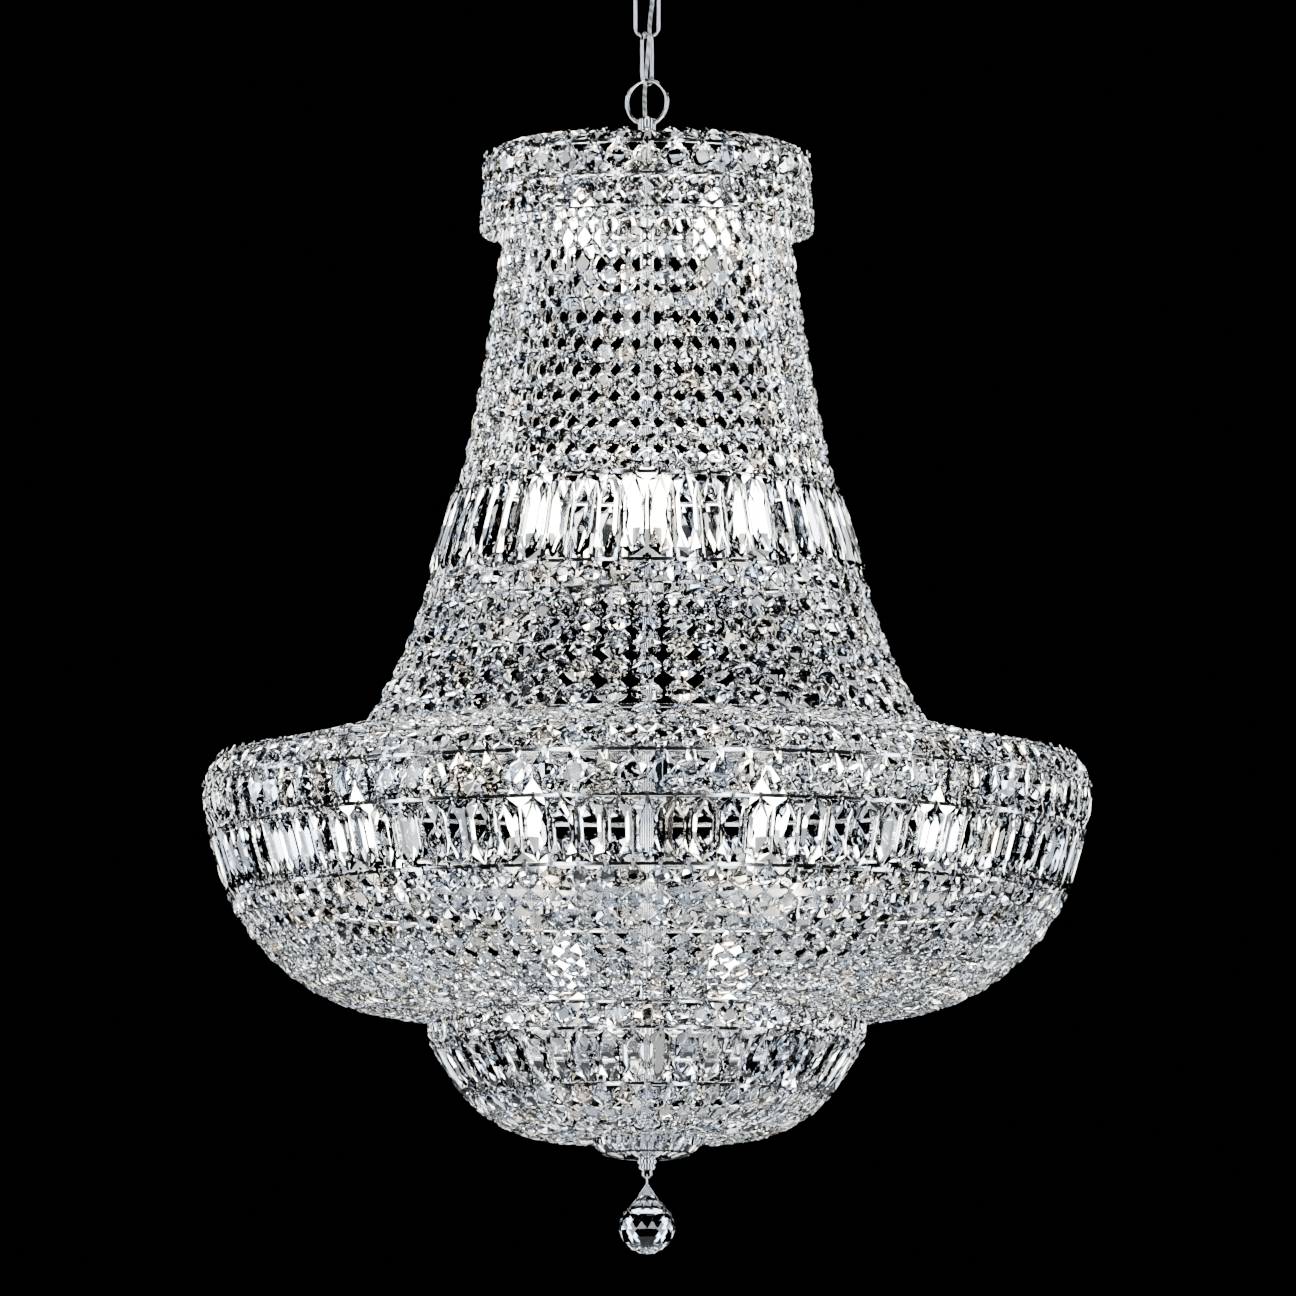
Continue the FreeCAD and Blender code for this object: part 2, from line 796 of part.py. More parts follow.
SPIDERS = {
    "crown_spider": (
        crown_top - seat,
        inside_of(crown_radius),
        6,
        30,
        None,
        (crown_mouth_radius, size("crown_shoulder_drop") - band / 2),
    ),
    "upper_lamp_arms": (
        crown_base - size("upper_lamp_drop"),
        upper_lamp_radius,
        4,
        45,
        upper_lamp_radius,
    ),
    "neck_lamp_arms": (
        neck_foot + size("arm_height") / 2,
        inside_of(neck_foot_radius),
        6,
        30,
        neck_lamp_radius,
    ),
    "shoulder_spider": (
        shoulder_edge - seat,
        inside_of(shoulder_edge_radius),
        8,
        22.5,
        None,
        (shoulder_radius, size("shoulder_drop") - band / 2),
    ),
    "basin_lamp_arms": (
        basin_line + size("arm_height") / 2,
        inside_of(basin_radius),
        8,
        22.5,
        basin_lamp_radius,
    ),
    "lower_lamp_arms": (
        lower_line + size("arm_height") / 2,
        inside_of(lower_radius),
        4,
        45,
        lower_lamp_radius,
    ),
}


def rib(upper, lower):
    """A flat bar inside two bands, each given as (radius, level), standing in the XZ plane."""
    clear = number("band_wall") / 2 + number("seat")
    flare = lower[0] > upper[0]
    half = number("band_height") / 2
    top = Vector(upper[0] - clear, 0, upper[1] - (half if flare else 0))
    foot = Vector(lower[0] - clear, 0, lower[1] + (0 if flare else half))
    slope = (top.x - foot.x) / (top.z - foot.z)
    thick = number("rib_thickness")
    corners = []
    for level in (upper[1], lower[1]):
        corners.append(Vector(top.x + slope * (level - top.z), 0, level))
    corners += [corners[1] - Vector(thick, 0, 0), corners[0] - Vector(thick, 0, 0)]
    face = Part.Face(Part.makePolygon(corners + corners[:1]))
    width = number("rib_width")
    face.translate(Vector(0, -width / 2, 0))
    return face.extrude(Vector(0, width, 0))


def make_ribs(label, pairs, count, step):
    """Bars welded inside the bands, each set beside the one above by an angle of step."""
    solids = []
    for shift, (upper, lower) in enumerate(pairs):
        bar = rib(upper, lower)
        for angle in around(count, shift * step):
            solids.append(bar.transformed(turned_place(angle).toMatrix(), copy=True))
    node = doc.addObject("Part::Feature", label)
    node.Shape = Part.makeCompound(solids)
    keep(node, label)


def band_at(radius, level):
    return radius.number, level.number


def make_all_ribs():
    crown = [band_at(crown_radius, crown_top)]
    crown.append((crown_radius.number, (crown_base + size("plate_thickness") + seat).number))
    make_ribs("crown_ribs", [tuple(crown)], 6, 0)
    neck = band_at(neck_radius, neck_line), band_at(neck_foot_radius, neck_foot)
    make_ribs("neck_ribs", [neck], 6, 0)
    basin = [
        band_at(shoulder_edge_radius, shoulder_edge),
        band_at(rim_radius, rim),
        band_at(basin_prism_radius, basin_prism_line),
        band_at(basin_radius, basin_line),
    ]
    make_ribs("basin_ribs", list(zip(basin, basin[1:])), 8, 1.5)
    lower = [
        band_at(lower_top_radius, lower_top),
        band_at(lower_radius, lower_line),
        band_at(tail_radius, tail_line),
    ]
    make_ribs("lower_ribs", list(zip(lower, lower[1:])), 4, 3.5)


# ---------------------------------------------------------------- crystals


class Curtain:
    """The line that a strand hangs along, from (radius, level) to (radius, level), bowed
    out by a given distance at its middle."""

    def __init__(self, start, end, bow=0.0):
        self.start, self.end = Vector(start[0], 0, start[1]), Vector(end[0], 0, end[1])
        along = (self.end - self.start).normalize()
        self.out = Vector(-along.z, 0, along.x)
        self.control = (self.start + self.end) / 2 + self.out * (2 * bow)

    def at(self, share):
        """The point at a share of the way down."""
        first = self.start * (1 - share) + self.control * share
        second = self.control * (1 - share) + self.end * share
        return first * (1 - share) + second * share


def faceted(corners, faces):
    """A closed solid with flat facets, given its corners and each facet's corner numbers."""
    flat = []
    for face in faces:
        ring = [corners[k] for k in face]
        flat.append(Part.Face(Part.makePolygon(ring + ring[:1])))
    solid = Part.Solid(Part.Shell(flat))
    if solid.Volume < 0:
        solid.reverse()
    return solid


def octagon(top, foot, width, depth):
    """One cut crystal on its pins, from pin to pin: a flat back and a ridged front."""
    along = (foot - top).normalize()
    out = Vector(-along.z, 0, along.x)
    gap = along * (number("pin_gap") / 2)
    middle = (top + foot) / 2
    side = Vector(0, width / 2, 0)
    corners = [top + gap, foot - gap, middle - side, middle + side, middle + out * depth]
    faces = [(0, 2, 4), (0, 4, 3), (0, 3, 2), (1, 4, 2), (1, 3, 4), (1, 2, 3)]
    return faceted(corners, faces)


def prism(top, foot, width, depth):
    """A long lustre: parallel sides, pointed ends, a flat back and a ridge down the front."""
    along = (foot - top).normalize()
    out = Vector(-along.z, 0, along.x)
    point = along * number("prism_point")
    side = Vector(0, width / 2, 0)
    high, low = top + point, foot - point
    corners = [top, high + side, low + side, foot, low - side, high - side]
    corners += [high + out * depth, low + out * depth]
    faces = [(5, 4, 3, 2, 1, 0), (0, 1, 6), (0, 6, 5), (1, 2, 7, 6), (5, 6, 7, 4)]
    faces += [(2, 3, 7), (3, 4, 7)]
    return faceted(corners, faces)


def strand(curtain, rows, width, depth, first=0.0, last=1.0):
    """The crystals of one strand, end to end, between two shares of the way down."""
    step = (last - first) / rows
    made = []
    for k in range(int(rows)):
        top, foot = curtain.at(first + k * step), curtain.at(first + (k + 1) * step)
        made.append(octagon(top, foot, width, depth))
    return made


def hang(label, sets):
    """A node of crystals: each set is (solids of one column, column count, first angle)."""
    solids = []
    for column, count, first in sets:
        for angle in around(count, first):
            turn = turned_place(angle).toMatrix()
            solids += [solid.transformed(turn, copy=True) for solid in column]
    node = doc.addObject("Part::Feature", label)
    node.Shape = Part.makeCompound(solids)
    keep(node, label)


def under(radius, level):
    """The pin line just below a band."""
    return radius.number, (level - band / 2 - seat).number


def over(radius, level):
    """The pin line just above a band."""
    return radius.number, (level + band / 2 + seat).number


def make_crown_crystals():
    wide, deep = number("large_octagon_width"), number("large_octagon_depth")
    small, thin = number("octagon_width"), number("octagon_depth")
    many, few = number("fringe_columns"), number("crown_columns")
    drop = wall / 2 + seat
    mouth = (crown_mouth_radius + drop).number, crown_mouth.number
    edge = (crown_radius - drop).number, crown_top.number
    # the sloping shoulder lies between its two bands, so its ends seat on their sides
    column = strand(Curtain(mouth, edge), 1, number("octagon_width"), thin)
    hang("crown_shoulder_octagons", [(column, few, 0)])
    line = Curtain(under(crown_radius, crown_top), over(crown_radius, crown_line))
    hang("crown_octagons", [(strand(line, 1, wide, deep), few, 0)])
    plate = (crown_base + size("plate_thickness") + seat).number
    line = Curtain(under(crown_radius, crown_line), (crown_radius.number, plate))
    hang("crown_drops", [(strand(line, 1, small, thin), many, 0)])
    top = crown_radius.number, (crown_base - seat).number
    foot = top[0], (crown_base - size("crown_fringe_drop")).number
    hang("crown_fringe", [(strand(Curtain(top, foot), 1, small, thin), many, 0)])


def make_neck_crystals():
    wide, deep = number("octagon_width"), number("octagon_depth")
    columns = number("columns")
    top = neck_top_radius.number, (crown_base - seat).number
    line = Curtain(top, over(neck_radius, neck_line), number("neck_bow"))
    hang("neck_strands", [(strand(line, number("neck_rows"), wide, deep), columns, 0)])
    drape = Curtain(
        under(neck_foot_radius, neck_foot),
        over(shoulder_radius, shoulder),
        number("drape_bow"),
    )
    hang("neck_drape", [(strand(drape, number("drape_rows"), wide, deep), columns, 0)])


def make_basin_crystals():
    wide, deep = number("octagon_width"), number("octagon_depth")
    big, bold = number("large_octagon_width"), number("large_octagon_depth")
    columns = number("columns")
    offset = 90 / columns
    drop = wall / 2 + seat
    start = (shoulder_radius + drop).number, shoulder.number
    end = (shoulder_edge_radius - drop).number, shoulder_edge.number
    hang("shoulder_strands", [(strand(Curtain(start, end), 2, wide, deep), columns, 0)])
    edge = under(shoulder_edge_radius, shoulder_edge)
    slope = Curtain(edge, over(rim_radius, rim), number("rim_bow"))
    hang("rim_shoulder_octagons", [(strand(slope, 1, wide, deep), 2 * columns, offset)])
    row = Curtain(under(rim_radius, rim), over(basin_prism_radius, basin_prism_line))
    hang("rim_octagons", [(strand(row, 1, big, bold), 2 * columns, offset)])
    foot = lower_top_radius.number, (lower_top + band / 2 + seat * 2).number
    bowl = Curtain(under(basin_radius, basin_line), foot, number("basin_bow"))
    cut = number("basin_thinning")
    upper = strand(bowl, number("basin_upper_rows"), wide, deep, 0, cut)
    lower = strand(bowl, number("basin_lower_rows"), wide, deep, cut, 1)
    sets = [(upper, 2 * columns, offset), (lower, columns, offset)]
    hang("basin_strands", sets)


def make_lower_crystals():
    wide, deep = number("octagon_width"), number("octagon_depth")
    columns = number("columns")
    row = Curtain(under(lower_top_radius, lower_top), over(lower_radius, lower_line))
    hang("lower_octagons", [(strand(row, 1, wide, deep), columns, 0)])
    rim_top = number("dish_radius") - number("dish_wall") / 2, (dish_top + seat * 3).number
    tail = Curtain(under(tail_radius, tail_line), rim_top, number("tail_bow"))
    cut = number("tail_thinning")
    upper = strand(tail, number("tail_upper_rows"), wide, deep, 0, cut)
    lower = strand(tail, number("tail_lower_rows"), wide, deep, cut, 1)
    hang("tail_strands", [(upper, columns, 0), (lower, columns / 2, 0)])


def make_prisms(label, top, foot, count, first):
    start, end = Vector(top[0], 0, top[1]), Vector(foot[0], 0, foot[1])
    column = [prism(start, end, number("prism_width"), number("prism_depth"))]
    hang(label, [(column, count, first)])


def make_all_prisms():
    columns = number("columns")
    half_step = 180 / columns
    make_prisms(
        "neck_prisms",
        under(neck_radius, neck_line),
        over(neck_foot_radius, neck_foot),
        columns,
        half_step,
    )
    make_prisms(
        "basin_prisms",
        under(basin_prism_radius, basin_prism_line),
        over(basin_radius, basin_line),
        2 * columns,
        0,
    )
    make_prisms(
        "lower_prisms",
        under(lower_radius, lower_line),
        over(tail_radius, tail_line),
        columns,
        half_step,
    )


# ---------------------------------------------------------------- lamps


def lamp_places():
    """Where each lamp stands: on the arms of the four lamp spiders."""
    places = []
    for label in ("upper_lamp_arms", "neck_lamp_arms", "basin_lamp_arms", "lower_lamp_arms"):
        top, _, arms, first, radius = SPIDERS[label][:5]
        for angle in around(arms, first):
            places.append(turned_place(angle, radius.number, top.number))
    return places


def make_lamps():
    """A candelabra holder, a candle sleeve round it and a clear bulb in it, at each place."""
    radius, height = size("holder_radius"), size("holder_height")
    corners = [(ZERO, ZERO), (radius, ZERO), (radius, height), (ZERO, height)]
    holder = turned("holder_master", corners)
    sleeve_inner = size("sleeve_radius") - size("sleeve_wall")
    outer, tall = size("sleeve_radius"), size("sleeve_height")
    corners = [(sleeve_inner, ZERO), (outer, ZERO), (outer, tall), (sleeve_inner, tall)]
    sleeve = turned("sleeve_master", corners)
    wide, long = size("bulb_radius"), size("bulb_length")
    neck = sleeve_inner - 2
    corners = [
        (ZERO, ZERO),
        (neck, ZERO),
        (neck, tall - height),
        (wide, tall - height + long * 0.2),
        (wide * 0.9, tall - height + long * 0.42),
        (wide * 0.45, tall - height + long * 0.72),
        (ZERO, long),
    ]
    bulb = turned("bulb_master", corners, height)
    places = lamp_places()
    copies("lamp_holders", holder, places)
    copies("candle_sleeves", sleeve, places)
    copies("bulbs", bulb, places)


# ---------------------------------------------------------------- dish, finial and ball


def make_dish():
    """The pressed glass dish that closes the tail, bored for the column."""
    hole = size("stem_radius") + seat / 2
    radius, depth, thick = size("dish_radius"), size("dish_depth"), size("dish_wall")
    corners = [
        (hole, ZERO),
        (radius * 0.32, ZERO),
        (radius * 0.72, depth * 0.3),
        (radius * 0.95, depth * 0.72),
        (radius, depth),
        (radius - thick, depth),
        (radius * 0.95 - thick, depth * 0.72 + thick / 2),
        (radius * 0.72 - thick, depth * 0.3 + thick),
        (radius * 0.32 - thick, thick),
        (hole, thick),
    ]
    keep(turned("bottom_dish", corners, dish_bottom), "bottom_dish")


eye_low = finial_bottom + size("eye_wire") * 0.75 - size("eye_length") + size("eye_wire")
hook_high = eye_low + (size("eye_wire") + size("hook_wire")) / 2 + size("play")
hook_low = hook_high - size("hook_length") + size("hook_wire")


def make_finial():
    """The nut under the dish, with two rolled lobes, and the eye that carries the ball."""
    radius, height = size("finial_radius"), size("finial_height")
    blank = turned(
        "finial_blank",
        [
            (ZERO, ZERO),
            (radius * 0.45, ZERO),
            (radius * 0.85, height * 0.12),
            (radius * 0.9, height * 0.4),
            (radius * 0.7, height * 0.5),
            (radius, height * 0.62),
            (radius, height * 0.9),
            (radius * 0.8, height),
            (ZERO, height),
        ],
        finial_bottom,
    )
    sizes = ("eye_length", "eye_width", "eye_wire", "eye_wire")
    eye_high = eye_low + size("eye_length") - size("eye_wire")
    eye = placed_loop("finial_eye", sizes, (eye_low + eye_high) / 2, 0)
    bore_level = dish_bottom - size("socket_depth")
    bore = cylinder("finial_bore", size("stem_radius") + seat / 2, size("socket_depth"), bore_level)
    keep(cut_from("finial_nut", joined("finial_body", [blank, eye]), bore), "finial_nut")


def make_hook():
    """The small wire link between the finial's eye and the ball."""
    sizes = ("hook_length", "hook_width", "hook_wire", "hook_flat")
    keep(placed_loop("ball_hook", sizes, (hook_high + hook_low) / 2, 90), "ball_hook")


BALL_SIDES = 16
BALL_ROWS = 7


def make_ball():
    """The cut ball: rows of flat facets, drawn up into a short neck bored for the hook."""
    radius, neck = number("ball_radius"), number("ball_neck_radius")
    above = number("ball_neck_length")
    middle = hook_low.number - above - radius
    outline = [(neck * 0.7, hook_low.number + neck * 1.1), (neck, hook_low.number + neck * 0.6)]
    outline.append((neck, hook_low.number - neck))
    for row in range(BALL_ROWS):
        turn = math.radians(64 - row * 148 / (BALL_ROWS - 1))
        outline.append((radius * math.cos(turn), middle + radius * math.sin(turn)))
    corners = []
    for across, level in outline:
        for side in range(BALL_SIDES):
            turn = 2 * math.pi * side / BALL_SIDES
            corners.append(Vector(across * math.cos(turn), across * math.sin(turn), level))
    faces = [tuple(range(BALL_SIDES))]
    for row in range(len(outline) - 1):
        for side in range(BALL_SIDES):
            here, beside = row * BALL_SIDES + side, row * BALL_SIDES + (side + 1) % BALL_SIDES
            faces.append((here, here + BALL_SIDES, beside + BALL_SIDES, beside))
    last = (len(outline) - 1) * BALL_SIDES
    faces.append(tuple(range(last, last + BALL_SIDES)))
    blank = doc.addObject("Part::Feature", "ball_blank")
    blank.Shape = faceted(corners, faces)
    bore = doc.addObject("Part::Cylinder", "ball_bore_way")
    bind(bore, Radius=size("ball_bore") / 2, Height=size("ball_radius"))
    bore.Placement.Rotation = FreeCAD.Rotation(Vector(1, 0, 0), -90)
    bore.setExpression("Placement.Base.y", (ZERO - size("ball_radius") / 2).text)
    raise_to(bore, hook_low)
    keep(cut_from("crystal_ball", blank, bore), "crystal_ball")


# ---------------------------------------------------------------- the whole fixture

make_crossbar()
make_nipple()
make_lock_nut()
make_cup()
make_collar()
make_ceiling_loop()
make_links()
make_ring()
make_coupling()
make_cords()
make_stem()
for band_label, (band_radius, band_level) in BANDS.items():
    make_band(band_label, band_radius, band_level)
make_crown_plate()
for spider_label, spider in SPIDERS.items():
    make_spider(spider_label, *spider)
make_all_ribs()
make_crown_crystals()
make_neck_crystals()
make_basin_crystals()
make_lower_crystals()
make_all_prisms()
make_lamps()
make_dish()
make_finial()
make_hook()
make_ball()
doc.recompute()

for piece in doc.Objects:
    if "Invalid" in piece.State or "Error" in piece.State:
        raise RuntimeError(f"{piece.Label} failed: {piece.State}")
for node in NODES:
    if node.Shape.isNull() or not node.Shape.isValid() or not node.Shape.Solids:
        raise RuntimeError(f"{node.Label} has no valid solid")

os.makedirs("parts", exist_ok=True)
for node in NODES:
    node.Shape.exportStep(f"parts/{node.Label}.step")
print(len(NODES), "nodes,", sum(len(node.Shape.Solids) for node in NODES), "solids")
for alias, level in (
    ("loop_low", loop_low),
    ("upper_low", upper_low),
    ("lower_low", lower_low),
    ("eye_low", eye_low),
    ("hook_low", hook_low),
):
    print(alias, round(level.number, 3))
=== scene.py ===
import math
import random

import bmesh
import bpy
from mathutils import Matrix, Vector


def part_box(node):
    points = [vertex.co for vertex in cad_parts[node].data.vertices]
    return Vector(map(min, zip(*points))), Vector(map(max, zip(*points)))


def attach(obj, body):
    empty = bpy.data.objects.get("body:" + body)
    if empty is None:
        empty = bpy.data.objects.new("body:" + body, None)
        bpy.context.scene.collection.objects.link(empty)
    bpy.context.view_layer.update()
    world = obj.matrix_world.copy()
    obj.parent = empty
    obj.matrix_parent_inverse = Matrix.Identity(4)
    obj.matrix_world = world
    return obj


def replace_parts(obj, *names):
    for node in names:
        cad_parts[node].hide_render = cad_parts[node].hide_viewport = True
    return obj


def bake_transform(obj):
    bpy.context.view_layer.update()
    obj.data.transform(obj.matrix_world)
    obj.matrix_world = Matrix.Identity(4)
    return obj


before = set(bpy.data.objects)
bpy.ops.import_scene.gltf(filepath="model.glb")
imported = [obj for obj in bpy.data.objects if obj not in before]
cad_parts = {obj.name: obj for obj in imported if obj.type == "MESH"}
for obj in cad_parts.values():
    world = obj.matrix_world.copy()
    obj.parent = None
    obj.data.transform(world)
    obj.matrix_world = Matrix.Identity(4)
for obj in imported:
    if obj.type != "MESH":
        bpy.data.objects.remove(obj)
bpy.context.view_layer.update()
MM = 0.001
random.seed(7)


# ---------------------------------------------------------------- camera

# The camera stands far off and a little below the basin. From there the undersides of the
# rings show, and near and far beads line up in the upper neck, as in the photograph. The
# frame is 1.026 m wide. Places are in metres.
CAMERA_PLACE = (0.0008, -20.0, -2.43)
CAMERA_TARGET = (0.0008, 0, -0.5805)
CAMERA_LENS = 704.8


def make_camera():
    data = bpy.data.cameras.new("camera")
    data.sensor_width = 36
    data.lens = CAMERA_LENS
    data.clip_start, data.clip_end = 0.5, 60
    camera = bpy.data.objects.new("camera", data)
    bpy.context.scene.collection.objects.link(camera)
    camera.location = CAMERA_PLACE
    target = Vector(CAMERA_TARGET)
    camera.rotation_euler = (target - camera.location).to_track_quat("-Z", "Y").to_euler()
    bpy.context.scene.camera = camera


make_camera()


# ---------------------------------------------------------------- materials


def linear(code):
    """An sRGB hex colour as the linear colour that a shader takes."""
    parts = [int(code[k : k + 2], 16) / 255 for k in (1, 3, 5)]
    turned = [v / 12.92 if v <= 0.04045 else ((v + 0.055) / 1.055) ** 2.4 for v in parts]
    return (*turned, 1.0)


def new_material(name):
    material = bpy.data.materials.new(name)
    material.use_nodes = True
    material.node_tree.nodes.clear()
    return material


def add(material, kind, links=None, **settings):
    """Adds one node, sets its sockets and properties, and links sockets to other nodes."""
    node = material.node_tree.nodes.new(kind)
    for key, value in settings.items():
        if key in node.inputs:
            node.inputs[key].default_value = value
        elif key.replace("_", " ") in node.inputs:
            node.inputs[key.replace("_", " ")].default_value = value
        else:
            setattr(node, key, value)
    for key, (source, socket) in (links or {}).items():
        material.node_tree.links.new(source.outputs[socket], node.inputs[key])
    return node


def surface(material, shader):
    add(material, "ShaderNodeOutputMaterial", {"Surface": (shader, 0)})
    return material


def ramp(material, source, socket, stops):
    """A colour ramp read from another node, with (place, hex colour) stops."""
    node = add(material, "ShaderNodeValToRGB", {"Fac": (source, socket)})
    points = node.color_ramp.elements
    while len(points) < len(stops):
        points.new(0.5)
    for point, (place, code) in zip(points, stops):
        point.position = place
        point.color = linear(code)
    return node


def cut_crystal():
    """Lead-free crystal, machine cut and fire polished. It is water clear, and each bead
    throws a faint blue, warm or grey cast of its own. Its index is matched to the sparkle
    in the photograph, a little above the usual 1.56."""
    material = new_material("cut_crystal")
    casts = [
        (0.0, "#ffffff"),
        (0.35, "#f6fbff"),
        (0.6, "#e6f0ff"),
        (0.8, "#fbfeff"),
        (0.97, "#fff2e2"),
    ]
    island = add(material, "ShaderNodeNewGeometry")
    tint = ramp(material, island, "Random Per Island", casts)
    shader = add(
        material,
        "ShaderNodeBsdfPrincipled",
        {"Base Color": (tint, "Color")},
        Roughness=0.0,
        IOR=1.62,
    )
    shader.inputs["Transmission Weight"].default_value = 1.0
    return surface(material, shader)


def pressed_glass():
    """Pressed and polished glass of the bottom dish, with the slight ripple of the mould."""
    material = new_material("pressed_glass")
    place = add(material, "ShaderNodeTexCoord")
    ripple = add(material, "ShaderNodeTexNoise", {"Vector": (place, "Object")}, Scale=90.0)
    bump = add(
        material,
        "ShaderNodeBump",
        {"Height": (ripple, "Fac")},
        Strength=0.12,
        Distance=0.001,
    )
    shader = add(
        material,
        "ShaderNodeBsdfPrincipled",
        {"Normal": (bump, 0)},
        Base_Color=linear("#f6faff"),
        Roughness=0.0,
        IOR=1.52,
    )
    shader.inputs["Transmission Weight"].default_value = 1.0
    return surface(material, shader)


def plated(name, colour, roughness, smear):
    """Bright plated metal. Hand polishing leaves its gloss a little uneven, over patches
    of about 20 mm."""
    material = new_material(name)
    place = add(material, "ShaderNodeTexCoord")
    cloud = add(
        material, "ShaderNodeTexNoise", {"Vector": (place, "Object")}, Scale=50.0, Detail=3.0
    )
    gloss = add(material, "ShaderNodeMapRange", {"Value": (cloud, "Fac")})
    gloss.inputs["To Min"].default_value = roughness
    gloss.inputs["To Max"].default_value = roughness + smear
    shader = add(
        material,
        "ShaderNodeBsdfPrincipled",
        {"Roughness": (gloss, 0)},
        Base_Color=linear(colour),
        Metallic=1.0,
    )
    return surface(material, shader)


def moulded(name, colour, roughness):
    """Injection-moulded plastic with the fine, even orange peel of the tool."""
    material = new_material(name)
    place = add(material, "ShaderNodeTexCoord")
    peel = add(material, "ShaderNodeTexNoise", {"Vector": (place, "Object")}, Scale=900.0)
    bump = add(
        material,
        "ShaderNodeBump",
        {"Height": (peel, "Fac")},
        Strength=0.15,
        Distance=0.0002,
    )
    shader = add(
        material,
        "ShaderNodeBsdfPrincipled",
        {"Normal": (bump, 0)},
        Base_Color=linear(colour),
        Roughness=roughness,
    )
    return surface(material, shader)


def clear_pvc():
    """Clear PVC over tinned copper strands: silver, with the lay of the two cores showing
    as a fine slanting stripe about every 4 mm."""
    material = new_material("clear_pvc_cord")
    place = add(material, "ShaderNodeTexCoord")
    lay = add(
        material,
        "ShaderNodeTexWave",
        {"Vector": (place, "Object")},
        Scale=80.0,
        bands_direction="DIAGONAL",
        Distortion=1.0,
    )
    tone = ramp(material, lay, "Fac", [(0.2, "#8d9192"), (0.6, "#d9dcdc"), (1.0, "#eef0ef")])
    shader = add(
        material,
        "ShaderNodeBsdfPrincipled",
        {"Base Color": (tone, "Color")},
        Roughness=0.22,
        Metallic=0.35,
    )
    shader.inputs["Coat Weight"].default_value = 1.0
    return surface(material, shader)


def lit_filament():
    """A glowing tungsten coil."""
    material = new_material("tungsten_filament")
    shader = add(material, "ShaderNodeEmission", Color=linear("#ffe9c8"), Strength=60.0)
    return surface(material, shader)


def blown_glass():
    """The lamp's thin blown envelope, lit through from inside."""
    material = new_material("blown_lamp_glass")
    shader = add(
        material,
        "ShaderNodeBsdfPrincipled",
        Base_Color=linear("#fffdf6"),
        Roughness=0.05,
        IOR=1.15,
        Emission_Color=linear("#fff6e6"),
        Emission_Strength=12.0,
    )
    shader.inputs["Transmission Weight"].default_value = 1.0
    return surface(material, shader)


CRYSTAL = cut_crystal()
DISH_GLASS = pressed_glass()
CHROME = plated("chrome_plate", "#e2e4e7", 0.06, 0.08)
ZINC = plated("zinc_plate", "#b9bbb6", 0.28, 0.14)
PIN_WIRE = plated("nickel_pin_wire", "#e3e4e4", 0.08, 0.05)
SLEEVE = moulded("polycarbonate_sleeve", "#e9e9e6", 0.35)
HOLDER = moulded("phenolic_holder", "#1b1b1c", 0.4)
CORD = clear_pvc()
FILAMENT = lit_filament()
LAMP_GLASS = blown_glass()


# ---------------------------------------------------------------- cords

# The cord threads each meeting of the chain in turn. Points are in metres, as in the source.
CORD_ROUTES = {
    "cord_upper": (
        [
            (0, 0, -0.037),
            (0, 0, -0.043),
            (0.0016, 0.0032, -0.049),
            (0.0045, 0.0041, -0.056),
            (0.0042, 0.0022, -0.065),
            (0.0032, 0, -0.074),
        ],
        0.0388,
        (0, 0, -0.041),
    ),
    "cord_middle": (
        [
            (0.0032, 0, -0.074),
            (0.0022, -0.0022, -0.083),
            (0.0021, -0.0038, -0.092),
            (0.0013, -0.0019, -0.102),
            (0.0003, 0.0005, -0.112),
        ],
        0.0389,
        (0.0032, 0, -0.074),
    ),
    "cord_lower": (
        [
            (0.0003, 0.0005, -0.112),
            (-0.0006, 0.00266, -0.121),
            (-0.0015, 0.0045, -0.1305),
            (-0.002, 0.0024, -0.14),
            (-0.0019, -0.0014, -0.149),
            (-0.00165, -0.00353, -0.157),
            (-0.00165, -0.00353, -0.163),
        ],
        0.0526,
        (0.0003, 0.0005, -0.112),
    ),
}


CORD_DIAMETER = 0.003


def make_cord(name):
    points, length, leaves = CORD_ROUTES[name]
    curve = bpy.data.curves.new(name + "_line", "CURVE")
    curve.dimensions = "3D"
    spline = curve.splines.new("NURBS")
    spline.points.add(len(points) - 1)
    for point, place in zip(spline.points, points):
        point.co = (*place, 1)
    spline.order_u = 3
    spline.use_endpoint_u = True
    spline.resolution_u = 12
    curve.bevel_depth = CORD_DIAMETER / 2
    curve.bevel_resolution = 3
    piece = bpy.data.objects.new("supply_" + name, curve)
    bpy.context.scene.collection.objects.link(piece)
    curve.materials.append(CORD)
    return piece, length, leaves


def line_of(piece):
    """The cord's centre line, as the curve draws it without its round section."""
    bare = piece.data.copy()
    bare.bevel_depth = 0
    probe = bpy.data.objects.new("probe", bare)
    bpy.context.scene.collection.objects.link(probe)
    graph = bpy.context.evaluated_depsgraph_get()
    mesh = bpy.data.meshes.new_from_object(probe.evaluated_get(graph))
    path = [tuple(v.co) for v in mesh.vertices]
    bpy.data.objects.remove(probe)
    bpy.data.meshes.remove(mesh)
    return path


def make_cords():
    for name in CORD_ROUTES:
        piece, length, leaves = make_cord(name)
        path = line_of(piece)
        graph = bpy.context.evaluated_depsgraph_get()
        tube = bpy.data.meshes.new_from_object(piece.evaluated_get(graph))
        bpy.data.objects.remove(piece)
        cord = bpy.data.objects.new("supply_" + name, tube)
        bpy.context.scene.collection.objects.link(cord)
        for face in tube.polygons:
            face.use_smooth = True
        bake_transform(cord)
        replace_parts(cord, name)


make_cords()


# ---------------------------------------------------------------- modelling helpers


